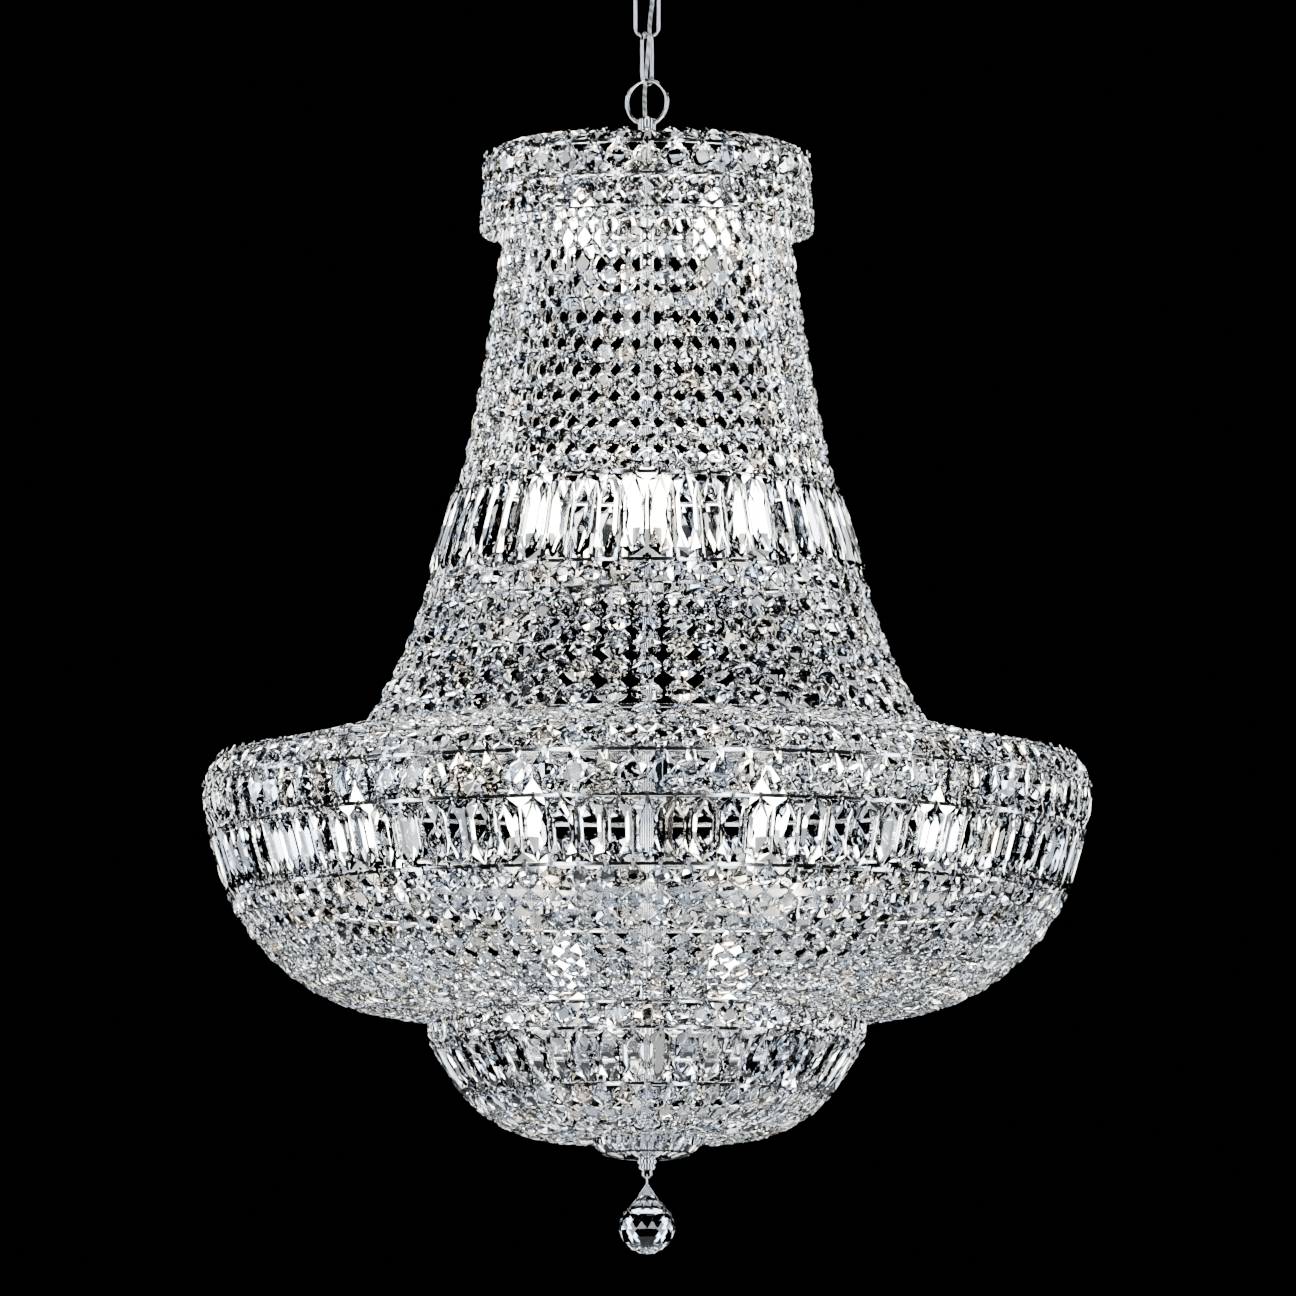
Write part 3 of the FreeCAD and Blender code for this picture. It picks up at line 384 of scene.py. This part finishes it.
def deselect():
    if bpy.context.object and bpy.context.object.mode != "OBJECT":
        bpy.ops.object.mode_set(mode="OBJECT")
    bpy.ops.object.select_all(action="DESELECT")


def faces_towards(piece, direction, least=0.95):
    """Selects in edit mode only the faces whose normals point this way."""
    bpy.ops.mesh.select_mode(type="FACE")
    bpy.ops.mesh.select_all(action="DESELECT")
    cage = bmesh.from_edit_mesh(piece.data)
    for face in cage.faces:
        face.select = face.normal.dot(Vector(direction)) > least
    cage.select_flush_mode()
    bmesh.update_edit_mesh(piece.data)


def settle(piece):
    """Puts a finished object at the origin, with its place in its mesh."""
    deselect()
    piece.select_set(True)
    bpy.context.view_layer.objects.active = piece
    bpy.ops.object.transform_apply(location=True, rotation=True, scale=True)
    return piece


def walled(piece, wall, ease, segments):
    """Gives a rolled strip its wall, inwards, and eases its corners, in millimetres."""
    shell = piece.modifiers.new("wall", "SOLIDIFY")
    shell.thickness = wall * MM
    shell.offset = -1
    bevel = piece.modifiers.new("ease", "BEVEL")
    bevel.width = ease * MM
    bevel.segments = segments
    for modifier in ("wall", "ease"):
        bpy.ops.object.modifier_apply(modifier=modifier)


def taken(piece):
    """Takes the mesh out of a master piece and removes the object."""
    mesh = piece.data
    bpy.data.objects.remove(piece)
    return mesh


# The octagon's shares: how far its slanting corners are cut in, and of a bead of unit size
# the girdle's thickness, the table's inset and the height of each crown.
CORNER_CUT, GIRDLE, TABLE_INSET, CROWN_HEIGHT = 0.7, 0.2, 0.24, 0.4


def cut_octagon():
    """One octagon bead of unit size, standing in the XZ plane: a flat girdle, and on each
    side a crown of triangular facets up to a table that is turned half a step."""
    deselect()
    bpy.ops.mesh.primitive_cylinder_add(
        vertices=8,
        radius=0.5 / math.cos(math.pi / 8),
        depth=GIRDLE,
        rotation=(math.pi / 2, math.pi / 8, 0),
        end_fill_type="NGON",
    )
    piece = bpy.context.object
    settle(piece)
    for vertex in piece.data.vertices:
        if abs(vertex.co.x) < abs(vertex.co.z):
            vertex.co.x *= CORNER_CUT
        else:
            vertex.co.z *= CORNER_CUT
    for side in (-1, 1):
        bpy.ops.object.mode_set(mode="EDIT")
        faces_towards(piece, (0, side, 0))
        bpy.ops.mesh.inset(thickness=TABLE_INSET, depth=0)
        bpy.ops.transform.translate(value=(0, side * CROWN_HEIGHT, 0))
        bpy.ops.transform.rotate(
            value=math.pi / 8, orient_axis="Y", center_override=(0, side * 0.5, 0)
        )
        bpy.ops.object.mode_set(mode="OBJECT")
    return taken(piece)


def cut_prism(width, length, thick, point):
    """One long prism, standing in the XZ plane: parallel sides, pointed ends, and on each
    side steep bevels round a leaf-shaped table."""
    deselect()
    bpy.ops.mesh.primitive_cylinder_add(
        vertices=6,
        radius=0.5,
        depth=thick * GIRDLE,
        rotation=(math.pi / 2, 0, 0),
        end_fill_type="NGON",
    )
    piece = bpy.context.object
    settle(piece)
    for vertex in piece.data.vertices:
        x, z = vertex.co.x, vertex.co.z
        shoulder = abs(z) < 0.4  # the two end corners of the hexagon lie beyond this
        vertex.co.x = math.copysign(width / 2, x) if shoulder else 0
        vertex.co.z = math.copysign(length / 2 - (point if shoulder else 0), z)
    for side in (-1, 1):
        bpy.ops.object.mode_set(mode="EDIT")
        faces_towards(piece, (0, side, 0))
        bpy.ops.mesh.inset(thickness=width * 0.2, depth=0)
        bpy.ops.transform.translate(value=(0, side * thick * CROWN_HEIGHT, 0))
        bpy.ops.transform.resize(value=(1, 1, 0.97))
        bpy.ops.mesh.select_mode(type="VERT")
        bpy.ops.mesh.select_all(action="DESELECT")
        cage = bmesh.from_edit_mesh(piece.data)
        for vertex in cage.verts:
            on_table = abs(vertex.co.y - side * thick / 2) < thick * 0.02
            if on_table and abs(vertex.co.x) > width * 0.1:
                vertex.co.z *= 0.55  # draws the table's side corners in to a leaf
        bmesh.update_edit_mesh(piece.data)
        bpy.ops.object.mode_set(mode="OBJECT")
    return taken(piece)


def bow_pin():
    """The wire clip that joins two beads, of unit size: a bow drawn in to a narrow waist
    between the two holes."""
    deselect()
    bpy.ops.mesh.primitive_cube_add(size=1)
    piece = bpy.context.object
    bpy.ops.object.mode_set(mode="EDIT")
    bpy.ops.mesh.select_all(action="SELECT")
    bpy.ops.mesh.bisect(plane_co=(0, 0, 0), plane_no=(0, 0, 1))
    cage = bmesh.from_edit_mesh(piece.data)
    for vertex in cage.verts:
        if abs(vertex.co.z) < 0.1:
            vertex.co.x *= 0.3
    bmesh.update_edit_mesh(piece.data)
    bpy.ops.object.mode_set(mode="OBJECT")
    return taken(piece)


class Curtain:
    """The line that a strand hangs along in millimetres, from (radius, level) to (radius,
    level), bowed out by a given distance at its middle."""

    def __init__(self, start, end, bow=0.0):
        self.start, self.end = Vector(start), Vector(end)
        along = (self.end - self.start).normalized()
        out = Vector((-along.y, along.x))
        self.control = (self.start + self.end) / 2 + out * (2 * bow)

    def at(self, share):
        first = self.start.lerp(self.control, share)
        second = self.control.lerp(self.end, share)
        return first.lerp(second, share)


def seat_of(top, foot, angle, size, out=0.0, twist=0.0, nod=0.0):
    """The matrix that hangs a unit bead of a given (width, thickness, length) between two
    (radius, level) points at an angle, with its face outwards."""
    along = (top - foot).normalized()
    turn = math.radians(angle)
    away = Vector((math.cos(turn), math.sin(turn), 0))
    up = away * along.x + Vector((0, 0, along.y))
    side = Vector((math.sin(turn), -math.cos(turn), 0))
    face = up.cross(side)
    middle = (top + foot) / 2
    place = away * middle.x + Vector((0, 0, middle.y)) + face * out
    axes = Matrix((side, face, up)).transposed().to_4x4()
    spin = Matrix.Rotation(twist, 4, "Z") @ Matrix.Rotation(nod, 4, "X")
    scale = Matrix.Diagonal((*(v * MM for v in size), 1))
    return Matrix.Translation(place * MM) @ axes @ spin @ scale


class Bundle:
    """Gathers turned copies of master meshes into one piece."""

    def __init__(self):
        self.points, self.faces = [], []

    def put(self, mesh, matrix):
        first = len(self.points)
        self.points += [tuple(matrix @ v.co) for v in mesh.vertices]
        self.faces += [tuple(first + k for k in face.vertices) for face in mesh.polygons]

    def made(self, name, material, body="fixture", slot="crystal", smooth=False):
        mesh = bpy.data.meshes.new(name)
        mesh.from_pydata(self.points, [], self.faces)
        mesh.materials.append(material)
        piece = bpy.data.objects.new(name, mesh)
        bpy.context.scene.collection.objects.link(piece)
        if smooth:
            for face in mesh.polygons:
                face.use_smooth = True
        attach(piece, body)
        return piece


# ---------------------------------------------------------------- strands

BEAD = cut_octagon()
PIN = bow_pin()
PINS = {}

# Of a wire clip in millimetres: its width, its thickness, and how far it reaches over the
# bead from the gap. It lies on the crown at a share of the bead's thickness.
PIN_WIDTH, PIN_WIRE_THICKNESS, PIN_REACH, PIN_SEAT = 3.4, 0.9, 2.2, 0.32


def pin_at(group, above, below, angle, depth):
    """A bow on the front and on the back of the glass, where two beads meet."""
    bundle = PINS.setdefault(group, Bundle())
    size = (PIN_WIDTH, PIN_WIRE_THICKNESS, (above - below).length)
    for side in (-depth, depth):
        bundle.put(PIN, seat_of(above, below, angle, size, side))


def hang_strands(name, node, sets, thick, gap, pins, wobble=8.0):
    """Strands of octagon beads. Each set is (curtain, rows, first share, last share,
    columns, first angle, how much of its column a bead fills)."""
    bundle = Bundle()
    for curtain, rows, low, high, columns, first, fill in sets:
        marks = [curtain.at(low + (high - low) * k / rows) for k in range(rows + 1)]
        for column in range(columns):
            angle = first + 360 * column / columns
            for above, below in zip(marks, marks[1:]):
                width = fill * math.pi * (above.x + below.x) / columns
                size = (width, thick, (above - below).length - gap)
                twist = math.radians(random.uniform(-wobble, wobble))
                nod = math.radians(random.uniform(-wobble, wobble) / 3)
                bundle.put(BEAD, seat_of(above, below, angle, size, 0, twist, nod))
                reach = (below - above).normalized() * (gap / 2 + PIN_REACH)
                pin_at(pins, above - reach, above + reach, angle, thick * PIN_SEAT)
    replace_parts(bundle.made(name, CRYSTAL), node)


# The level of each ring below the ceiling, in millimetres.
CROWN_MOUTH, CROWN_TOP, CROWN_LINE = -179.8, -189.3, -214.8
NECK_LINE, NECK_FOOT = -453.8, -524.8
SHOULDER, SHOULDER_EDGE = -645.8, -668.0
RIM, PRISM_LINE, BASIN_LINE = -690.8, -725.8, -778.8
LOWER_TOP, LOWER_LINE, TAIL_LINE = -873.3, -893.8, -936.3
PIN_LINE = 0.5


def under(radius, level):
    """The pin line just below the middle of a ring."""
    return radius, level - PIN_LINE


def over(radius, level):
    """The pin line just above the middle of a ring."""
    return radius, level + PIN_LINE


def make_crown():
    slope = Curtain((97.5, CROWN_MOUTH), (124.7, CROWN_TOP))
    hang_strands(
        "crown_shoulder_beads", "crown_shoulder_octagons",
        [(slope, 1, 0, 1, 36, 0, 0.97)], 9.0, 1.0, "crown_pins",
    )
    row = Curtain(under(126, CROWN_TOP), over(126, CROWN_LINE))
    hang_strands(
        "crown_row_beads", "crown_octagons", [(row, 1, 0, 1, 36, 0, 0.97)], 9.0, 1.0, "crown_pins"
    )
    drops = Curtain(under(127, CROWN_LINE), (129.5, -241.0))
    hang_strands(
        "crown_drop_beads", "crown_drops", [(drops, 2, 0, 1, 54, 0, 0.97)], 6.5, 1.0, "crown_pins"
    )
    fringe = Curtain((129.5, -241.5), (128, -253.5))
    hang_strands(
        "crown_fringe_beads", "crown_fringe",
        [(fringe, 1, 0, 1, 54, 0, 0.97)], 6.5, 1.0, "crown_pins",
    )


def make_neck():
    line = Curtain((110, -243.6), over(145.5, NECK_LINE), -3.2)
    hang_strands(
        "neck_beads", "neck_strands", [(line, 10, 0, 1, 48, 0, 0.97)], 8.4, 3.4, "neck_pins"
    )
    drape = Curtain(under(168.5, NECK_FOOT), over(221, SHOULDER), -5.0)
    sets = [(drape, 3, 0, 0.5, 48, 0, 0.92), (drape, 3, 0.5, 1, 48, 0, 0.85)]
    hang_strands("drape_beads", "neck_drape", sets, 8.5, 3.0, "neck_pins")


def make_basin():
    offset = 360 / 192  # half a step of the 96 columns
    shoulder = Curtain((221.5, SHOULDER), (315, SHOULDER_EDGE))
    sets = [(shoulder, 2, 0, 0.5, 48, 0, 0.72), (shoulder, 2, 0.5, 1, 96, 0, 0.95)]
    hang_strands("shoulder_beads", "shoulder_strands", sets, 7.0, 1.4, "basin_pins")
    slope = Curtain(under(316, SHOULDER_EDGE), over(349, RIM), 11.0)
    hang_strands(
        "rim_shoulder_beads", "rim_shoulder_octagons",
        [(slope, 2, 0, 1, 96, offset, 0.97)], 7.0, 1.4, "basin_pins",
    )
    row = Curtain(under(349, RIM), over(344, PRISM_LINE))
    hang_strands(
        "rim_row_beads", "rim_octagons", [(row, 1, 0, 1, 96, offset, 0.97)], 8.0, 1.4, "basin_pins"
    )
    bowl = Curtain(under(328, BASIN_LINE), (171, -868.5), 28.0)
    sets = [(bowl, 7, 0, 0.76, 96, offset, 0.96), (bowl, 2, 0.76, 1, 48, offset, 0.8)]
    hang_strands("bowl_beads", "basin_strands", sets, 8.0, 3.0, "basin_pins")


def make_lower_tier():
    row = Curtain(under(171, LOWER_TOP), over(168.5, LOWER_LINE))
    hang_strands(
        "lower_row_beads", "lower_octagons", [(row, 1, 0, 1, 48, 0, 0.97)], 7.0, 1.0, "lower_pins"
    )
    tail = Curtain(under(141.5, TAIL_LINE), (42.5, -966.4), 14.0)
    sets = [(tail, 2, 0, 0.42, 48, 0, 0.97), (tail, 3, 0.42, 1, 24, 0, 0.8)]
    hang_strands("tail_beads", "tail_strands", sets, 6.5, 1.6, "lower_pins")


# Of every long prism in millimetres: its thickness, the height of its point, the gap that
# its pins leave, the pin's reach down its face, and how far out of its middle the pin lies.
PRISM_THICKNESS, PRISM_POINT, PRISM_GAP = 8, 8, 1.6
PRISM_PIN_REACH, PRISM_PIN_DEPTH = 4.5, 2.6


def make_prism_row(name, node, top, foot, width, columns, first, pins):
    """A row of long prisms on short pins, each a little loose on its pin."""
    top, foot = Vector(top), Vector(foot)
    long = (top - foot).length - PRISM_GAP
    step = (foot - top).normalized() * PRISM_PIN_REACH
    prism = cut_prism(width * MM, long * MM, PRISM_THICKNESS * MM, PRISM_POINT * MM)
    bundle = Bundle()
    for column in range(columns):
        angle = first + 360 * column / columns
        twist = math.radians(random.uniform(-4, 4))
        bundle.put(prism, seat_of(top, foot, angle, (1 / MM, 1 / MM, 1 / MM), 0, twist))
        pin_at(pins, top - step / 2, top + step, angle, PRISM_PIN_DEPTH)
    bpy.data.meshes.remove(prism)
    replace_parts(bundle.made(name, CRYSTAL), node)


def make_prisms():
    half = 360 / 96
    make_prism_row(
        "neck_row_prisms", "neck_prisms",
        under(149, NECK_LINE), over(171, NECK_FOOT), 19.2, 48, half, "neck_pins",
    )
    make_prism_row(
        "basin_row_prisms", "basin_prisms",
        under(344, PRISM_LINE), over(328, BASIN_LINE), 20.4, 96, 0, "basin_pins",
    )
    make_prism_row(
        "lower_row_prisms", "lower_prisms",
        under(168.5, LOWER_LINE), over(141.5, TAIL_LINE), 18.2, 48, half, "lower_pins",
    )


# The rings as they are dressed: (node, radius of the pin line, level). They are set back
# behind the beads, so that only a fine line of each shows in the slot between two rows.
SET_BACK, STRIP_HEIGHT = 2.6, 3.4
RINGS = [
    ("crown_mouth_ring", 96, CROWN_MOUTH),
    ("crown_top_ring", 126, CROWN_TOP),
    ("crown_line_ring", 126, CROWN_LINE),
    ("neck_ring", 145.5, NECK_LINE),
    ("neck_foot_ring", 166, NECK_FOOT),
    ("shoulder_ring", 221, SHOULDER),
    ("shoulder_edge_ring", 316, SHOULDER_EDGE),
    ("rim_ring", 349, RIM),
    ("basin_prism_ring", 344, PRISM_LINE),
    ("basin_ring", 328, BASIN_LINE),
    ("lower_top_ring", 171, LOWER_TOP),
    ("lower_ring", 168.5, LOWER_LINE),
    ("tail_ring", 141.5, TAIL_LINE),
]


def make_rings():
    """Each ring is a strip on edge, rolled round, with its corners eased."""
    for node, radius, level in RINGS:
        deselect()
        bpy.ops.mesh.primitive_cylinder_add(
            vertices=144, radius=(radius - SET_BACK) * MM, depth=STRIP_HEIGHT * MM,
            location=(0, 0, level * MM), end_fill_type="NOTHING",
        )
        piece = bpy.context.object
        piece.name = "dressed_" + node
        walled(piece, wall=1.4, ease=0.4, segments=2)
        settle(piece)
        piece.data.materials.append(CHROME)
        bpy.ops.object.shade_smooth_by_angle(angle=math.radians(40))
        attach(piece, "fixture")
        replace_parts(piece, node)


def flat_bar():
    """A steel bar of unit size with eased edges."""
    deselect()
    bpy.ops.mesh.primitive_cube_add(size=1)
    piece = bpy.context.object
    ease = piece.modifiers.new("ease", "BEVEL")
    ease.width = 0.06
    ease.segments = 2
    bpy.ops.object.modifier_apply(modifier="ease")
    return taken(piece)


def make_basin_ribs():
    """The welded bars inside the basin's rings, set beside each other from ring to ring."""
    bar, bundle = flat_bar(), Bundle()
    rings = ((316, SHOULDER_EDGE), (349, RIM), (344, PRISM_LINE), (328, BASIN_LINE))
    marks = [Vector(mark) for mark in rings]
    for shift, (upper, lower) in enumerate(zip(marks, marks[1:])):
        for k in range(8):
            angle = 1.5 * shift + 45 * k
            size = (6, 2.5, (upper - lower).length)
            behind_the_rings = -5.2
            bundle.put(bar, seat_of(upper, lower, angle, size, behind_the_rings))
    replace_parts(bundle.made("dressed_basin_ribs", CHROME, slot="chrome"), "basin_ribs")


def make_shoulder_spider():
    """The spider that holds the shoulder: its arms droop a little to the edge ring, and a
    post on each carries the shoulder ring."""
    bar, bundle = flat_bar(), Bundle()
    root, end = Vector((8, -661.1)), Vector((312.2, -672.4))
    post_foot, post_top = Vector((220.5, -669)), Vector((218.2, -646.2))
    for k in range(8):
        angle = 22.5 + 45 * k
        bundle.put(bar, seat_of(root, end, angle, (6, 6, (root - end).length)))
        bundle.put(bar, seat_of(post_top, post_foot, angle, (5, 4, 22.9)))
    deselect()
    bpy.ops.mesh.primitive_cylinder_add(
        vertices=48, radius=13 * MM, depth=9 * MM,
        location=(0, 0, -659.6 * MM), end_fill_type="NOTHING",
    )
    hub = bpy.context.object
    walled(hub, wall=7.9, ease=0.6, segments=1)
    settle(hub)
    bundle.put(taken(hub), Matrix.Identity(4))
    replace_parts(bundle.made("dressed_shoulder_spider", CHROME, slot="chrome"), "shoulder_spider")


# ---------------------------------------------------------------- dish and ball


def make_dish():
    """The pressed dish: a shallow bowl with radial flutes outside and a plain inside."""
    deselect()
    outline = [(5.4, -986.3), (24, -985.8), (36, -982.5), (42, -976.0), (44, -967.4)]
    inside = [(41, -967.4), (39, -975.2), (34, -980.0), (23, -982.8), (5.4, -983.2)]
    ring = outline + inside
    sides, hollow = 48, 0.955
    points, faces = [], []
    for side in range(sides):
        turn = 2 * math.pi * side / sides
        for k, (radius, level) in enumerate(ring):
            flute = hollow if side % 2 and 0 < k < 4 else 1.0
            reach = radius * flute * MM
            points.append((reach * math.cos(turn), reach * math.sin(turn), level * MM))
    count = len(ring)
    for side in range(sides):
        here, beside = side * count, (side + 1) % sides * count
        for k in range(count):
            after = (k + 1) % count
            faces.append((here + k, beside + k, beside + after, here + after))
    mesh = bpy.data.meshes.new("fluted_dish")
    mesh.from_pydata(points, [], faces)
    mesh.materials.append(DISH_GLASS)
    piece = bpy.data.objects.new("fluted_dish", mesh)
    bpy.context.scene.collection.objects.link(piece)
    piece.select_set(True)
    bpy.context.view_layer.objects.active = piece
    bpy.ops.object.mode_set(mode="EDIT")
    bpy.ops.mesh.select_all(action="SELECT")
    bpy.ops.mesh.normals_make_consistent(inside=False)
    bpy.ops.object.mode_set(mode="OBJECT")
    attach(piece, "fixture")
    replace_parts(piece, "bottom_dish")


BALL_FACETS, BALL_ROWS = 16, 11
# How the ball's upper rows are drawn in to its neck: row, then the shares across and up.
BALL_NECK = {2: (0.8, 1.12), 3: (0.91, 1.07)}
NECK_DROP, NECK_WAIST = 0.0035, 0.34


def make_ball():
    """The cut ball: rings of small facets, each turned half a step from the next, and a
    drop-shaped neck where the hook goes through."""
    low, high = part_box("crystal_ball")
    radius = (high.x - low.x) / 2
    middle = low.z + radius
    deselect()
    bpy.ops.mesh.primitive_uv_sphere_add(
        segments=BALL_FACETS, ring_count=BALL_ROWS, radius=radius
    )
    piece = bpy.context.object
    bpy.ops.object.mode_set(mode="EDIT")
    bpy.ops.mesh.select_mode(type="VERT")
    bpy.ops.mesh.select_all(action="DESELECT")
    cage = bmesh.from_edit_mesh(piece.data)
    for vertex in cage.verts:
        height = max(-1, min(1, vertex.co.z / radius))
        row = round(math.acos(height) / math.pi * BALL_ROWS)
        if row % 2:
            turn = math.pi / BALL_FACETS
            x, y = vertex.co.x, vertex.co.y
            vertex.co.x = x * math.cos(turn) - y * math.sin(turn)
            vertex.co.y = x * math.sin(turn) + y * math.cos(turn)
        if row == 0:
            vertex.co.z = high.z - middle
        if row == 1:
            vertex.co.z = high.z - middle - NECK_DROP
            vertex.co.x *= NECK_WAIST
            vertex.co.y *= NECK_WAIST
        if row in BALL_NECK:
            across, up = BALL_NECK[row]
            vertex.co.z *= up
            vertex.co.x *= across
            vertex.co.y *= across
    bmesh.update_edit_mesh(piece.data)
    bpy.ops.mesh.select_all(action="SELECT")
    bpy.ops.mesh.quads_convert_to_tris(quad_method="BEAUTY")
    bpy.ops.object.mode_set(mode="OBJECT")
    piece.location = (0, 0, middle)
    settle(piece)
    piece.name = "cut_ball"
    piece.data.materials.append(CRYSTAL)
    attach(piece, "ball")
    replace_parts(piece, "crystal_ball")


# ---------------------------------------------------------------- lamps

# (count, first angle, radius, level of the arm) of each set of lamps, in millimetres
LAMP_SETS = [
    (4, 45, 74, -300.3),
    (6, 30, 95, -521.8),
    (8, 22.5, 248, -775.8),
    (4, 45, 90, -890.8),
]
HOLDER_HEIGHT = 12


def lamp_envelope():
    """The blown globe of a lamp, spun from its outline, with its neck in the holder."""
    outline = [(0.4, 0), (8, 0), (8.4, 12), (13, 22), (15.6, 34), (13.6, 47), (7.5, 60), (0.4, 70)]
    points = [(r * MM, 0, z * MM) for r, z in outline]
    edges = [(k, k + 1) for k in range(len(outline) - 1)]
    deselect()
    mesh = bpy.data.meshes.new("lamp_envelope")
    mesh.from_pydata(points, edges, [])
    piece = bpy.data.objects.new("lamp_envelope", mesh)
    bpy.context.scene.collection.objects.link(piece)
    piece.select_set(True)
    bpy.context.view_layer.objects.active = piece
    bpy.ops.object.mode_set(mode="EDIT")
    bpy.ops.mesh.select_all(action="SELECT")
    bpy.ops.mesh.spin(steps=14, angle=2 * math.pi, center=(0, 0, 0), axis=(0, 0, 1))
    bpy.ops.mesh.select_all(action="SELECT")
    bpy.ops.mesh.remove_doubles(threshold=0.0001)
    bpy.ops.mesh.fill_holes(sides=20)
    bpy.ops.mesh.normals_make_consistent(inside=False)
    bpy.ops.object.mode_set(mode="OBJECT")
    return taken(piece)


def filament_coil():
    """The glowing coil, drawn thick enough to show."""
    deselect()
    bpy.ops.mesh.primitive_torus_add(
        major_segments=12, minor_segments=5, major_radius=0.006, minor_radius=0.0011,
        location=(0, 0, 0.034),
    )
    piece = bpy.context.object
    piece.scale = (1, 1, 1.6)
    settle(piece)
    return taken(piece)


def make_lamps():
    glass, glow = Bundle(), Bundle()
    envelope, coil = lamp_envelope(), filament_coil()
    for count, first, radius, level in LAMP_SETS:
        for k in range(count):
            turn = math.radians(first + 360 * k / count)
            seat = level + HOLDER_HEIGHT
            place = Vector((radius * math.cos(turn), radius * math.sin(turn), seat)) * MM
            glass.put(envelope, Matrix.Translation(place))
            glow.put(coil, Matrix.Translation(place) @ Matrix.Rotation(math.pi / 2, 4, "Y"))
    bulbs = glass.made("lamp_glass", LAMP_GLASS, slot="bulb_glass", smooth=True)
    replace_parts(bulbs, "bulbs")
    glow.made("lamp_filaments", FILAMENT, slot="bulb_glass")


make_crown()
make_neck()
make_basin()
make_lower_tier()
make_prisms()
make_rings()
make_basin_ribs()
make_shoulder_spider()
for group, bundle in PINS.items():
    bundle.made(group, PIN_WIRE, slot="pin_wire")
make_dish()
make_ball()
make_lamps()


# ---------------------------------------------------------------- finishes of the CAD pieces

FINISHES = {
    "crossbar": ZINC,
    "lock_nut": ZINC,
    "nipple": ZINC,
    "candle_sleeves": SLEEVE,
    "lamp_holders": HOLDER,
    "ball_hook": PIN_WIRE,
}
for node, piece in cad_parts.items():
    for place in piece.material_slots:
        place.material = FINISHES.get(node, CHROME)


# ---------------------------------------------------------------- studio


FLOOR_LEVEL, FLOOR_RADIUS = -2.5, 1.5


def make_floor():
    """A plain pale floor, as far below as in a room of usual height. It is only as wide as
    its shadow needs, so that the crystals see the dark beyond it and keep their sparkle."""
    deselect()
    bpy.ops.mesh.primitive_cylinder_add(
        vertices=96, radius=FLOOR_RADIUS, depth=0.02, location=(0, 0, FLOOR_LEVEL)
    )
    floor = bpy.context.object
    floor.name = "studio_floor"
    settle(floor)
    material = new_material("pale_floor")
    shader = add(
        material, "ShaderNodeBsdfPrincipled", Base_Color=linear("#dcdcda"), Roughness=0.7
    )
    floor.data.materials.append(surface(material, shader))


def make_world():
    """Black all round, as in the photograph, for what the eye, the metal and the glass
    see. Dull surfaces still get a soft even light."""
    world = bpy.data.worlds.new("studio")
    world.use_nodes = True
    world.node_tree.nodes.clear()
    bpy.context.scene.world = world
    rays = add(world, "ShaderNodeLightPath")
    camera_and_gloss = {0: (rays, "Is Camera Ray"), 1: (rays, "Is Glossy Ray")}
    seen = add(world, "ShaderNodeMath", camera_and_gloss, operation="MAXIMUM")
    and_glass = {0: (seen, 0), 1: (rays, "Is Transmission Ray")}
    clear = add(world, "ShaderNodeMath", and_glass, operation="MAXIMUM")
    dark = add(world, "ShaderNodeBackground", Color=linear("#000000"), Strength=1.0)
    soft = add(world, "ShaderNodeBackground", Color=linear("#ffffff"), Strength=0.08)
    mixed = add(world, "ShaderNodeMixShader", {0: (clear, 0), 1: (soft, 0), 2: (dark, 0)})
    add(world, "ShaderNodeOutputWorld", {"Surface": (mixed, 0)})


def make_panel(name, place, width, height, radiance, colour="#ffffff"):
    """A soft box that faces the chandelier. The camera doesn't see the box itself."""
    data = bpy.data.lights.new(name, "AREA")
    data.shape = "RECTANGLE"
    data.size, data.size_y = width, height
    data.energy = radiance * math.pi * width * height
    data.color = linear(colour)[:3]
    lamp = bpy.data.objects.new(name, data)
    bpy.context.scene.collection.objects.link(lamp)
    lamp.location = place
    aim = Vector((0, 0, -0.6)) - Vector(place)
    lamp.rotation_euler = aim.to_track_quat("-Z", "Y").to_euler()
    lamp.visible_camera = False


# The strip boxes: how many, the first one's angle and the arc they span in degrees, their
# distance and size in metres, and their radiance.
STRIPS, STRIP_FIRST, STRIP_ARC = 8, 28, 304
STRIP_DISTANCE, STRIP_WIDTH, STRIP_LENGTH = 3.3, 0.5, 2.9
STRIP_RADIANCE = 9.0


def make_lights():
    """Tall strip boxes all round, with dark between them, so that every facet turns either
    white or black. None stands in the camera's view. With the panels and the floor they
    show a dull surface at about 1.15 times its written colour."""
    for k in range(STRIPS):
        turn = math.radians(STRIP_FIRST + STRIP_ARC * k / (STRIPS - 1))
        across, deep = STRIP_DISTANCE * math.sin(turn), STRIP_DISTANCE * math.cos(turn)
        place = (across, deep, -0.6 + 0.35 * math.sin(2.1 * k))
        make_panel(f"strip_{k}", place, STRIP_WIDTH, STRIP_LENGTH, STRIP_RADIANCE, "#edf6ff")
    make_panel("top_panel", (0, 0.6, 2.5), 1.4, 1.4, 5.0)
    make_panel("low_panel", (0, -2.4, -2.35), 2.6, 0.45, 6.0)
    make_panel("low_back_panel", (0, 2.6, -2.35), 2.6, 0.35, 6.0)


make_floor()
make_world()
make_lights()
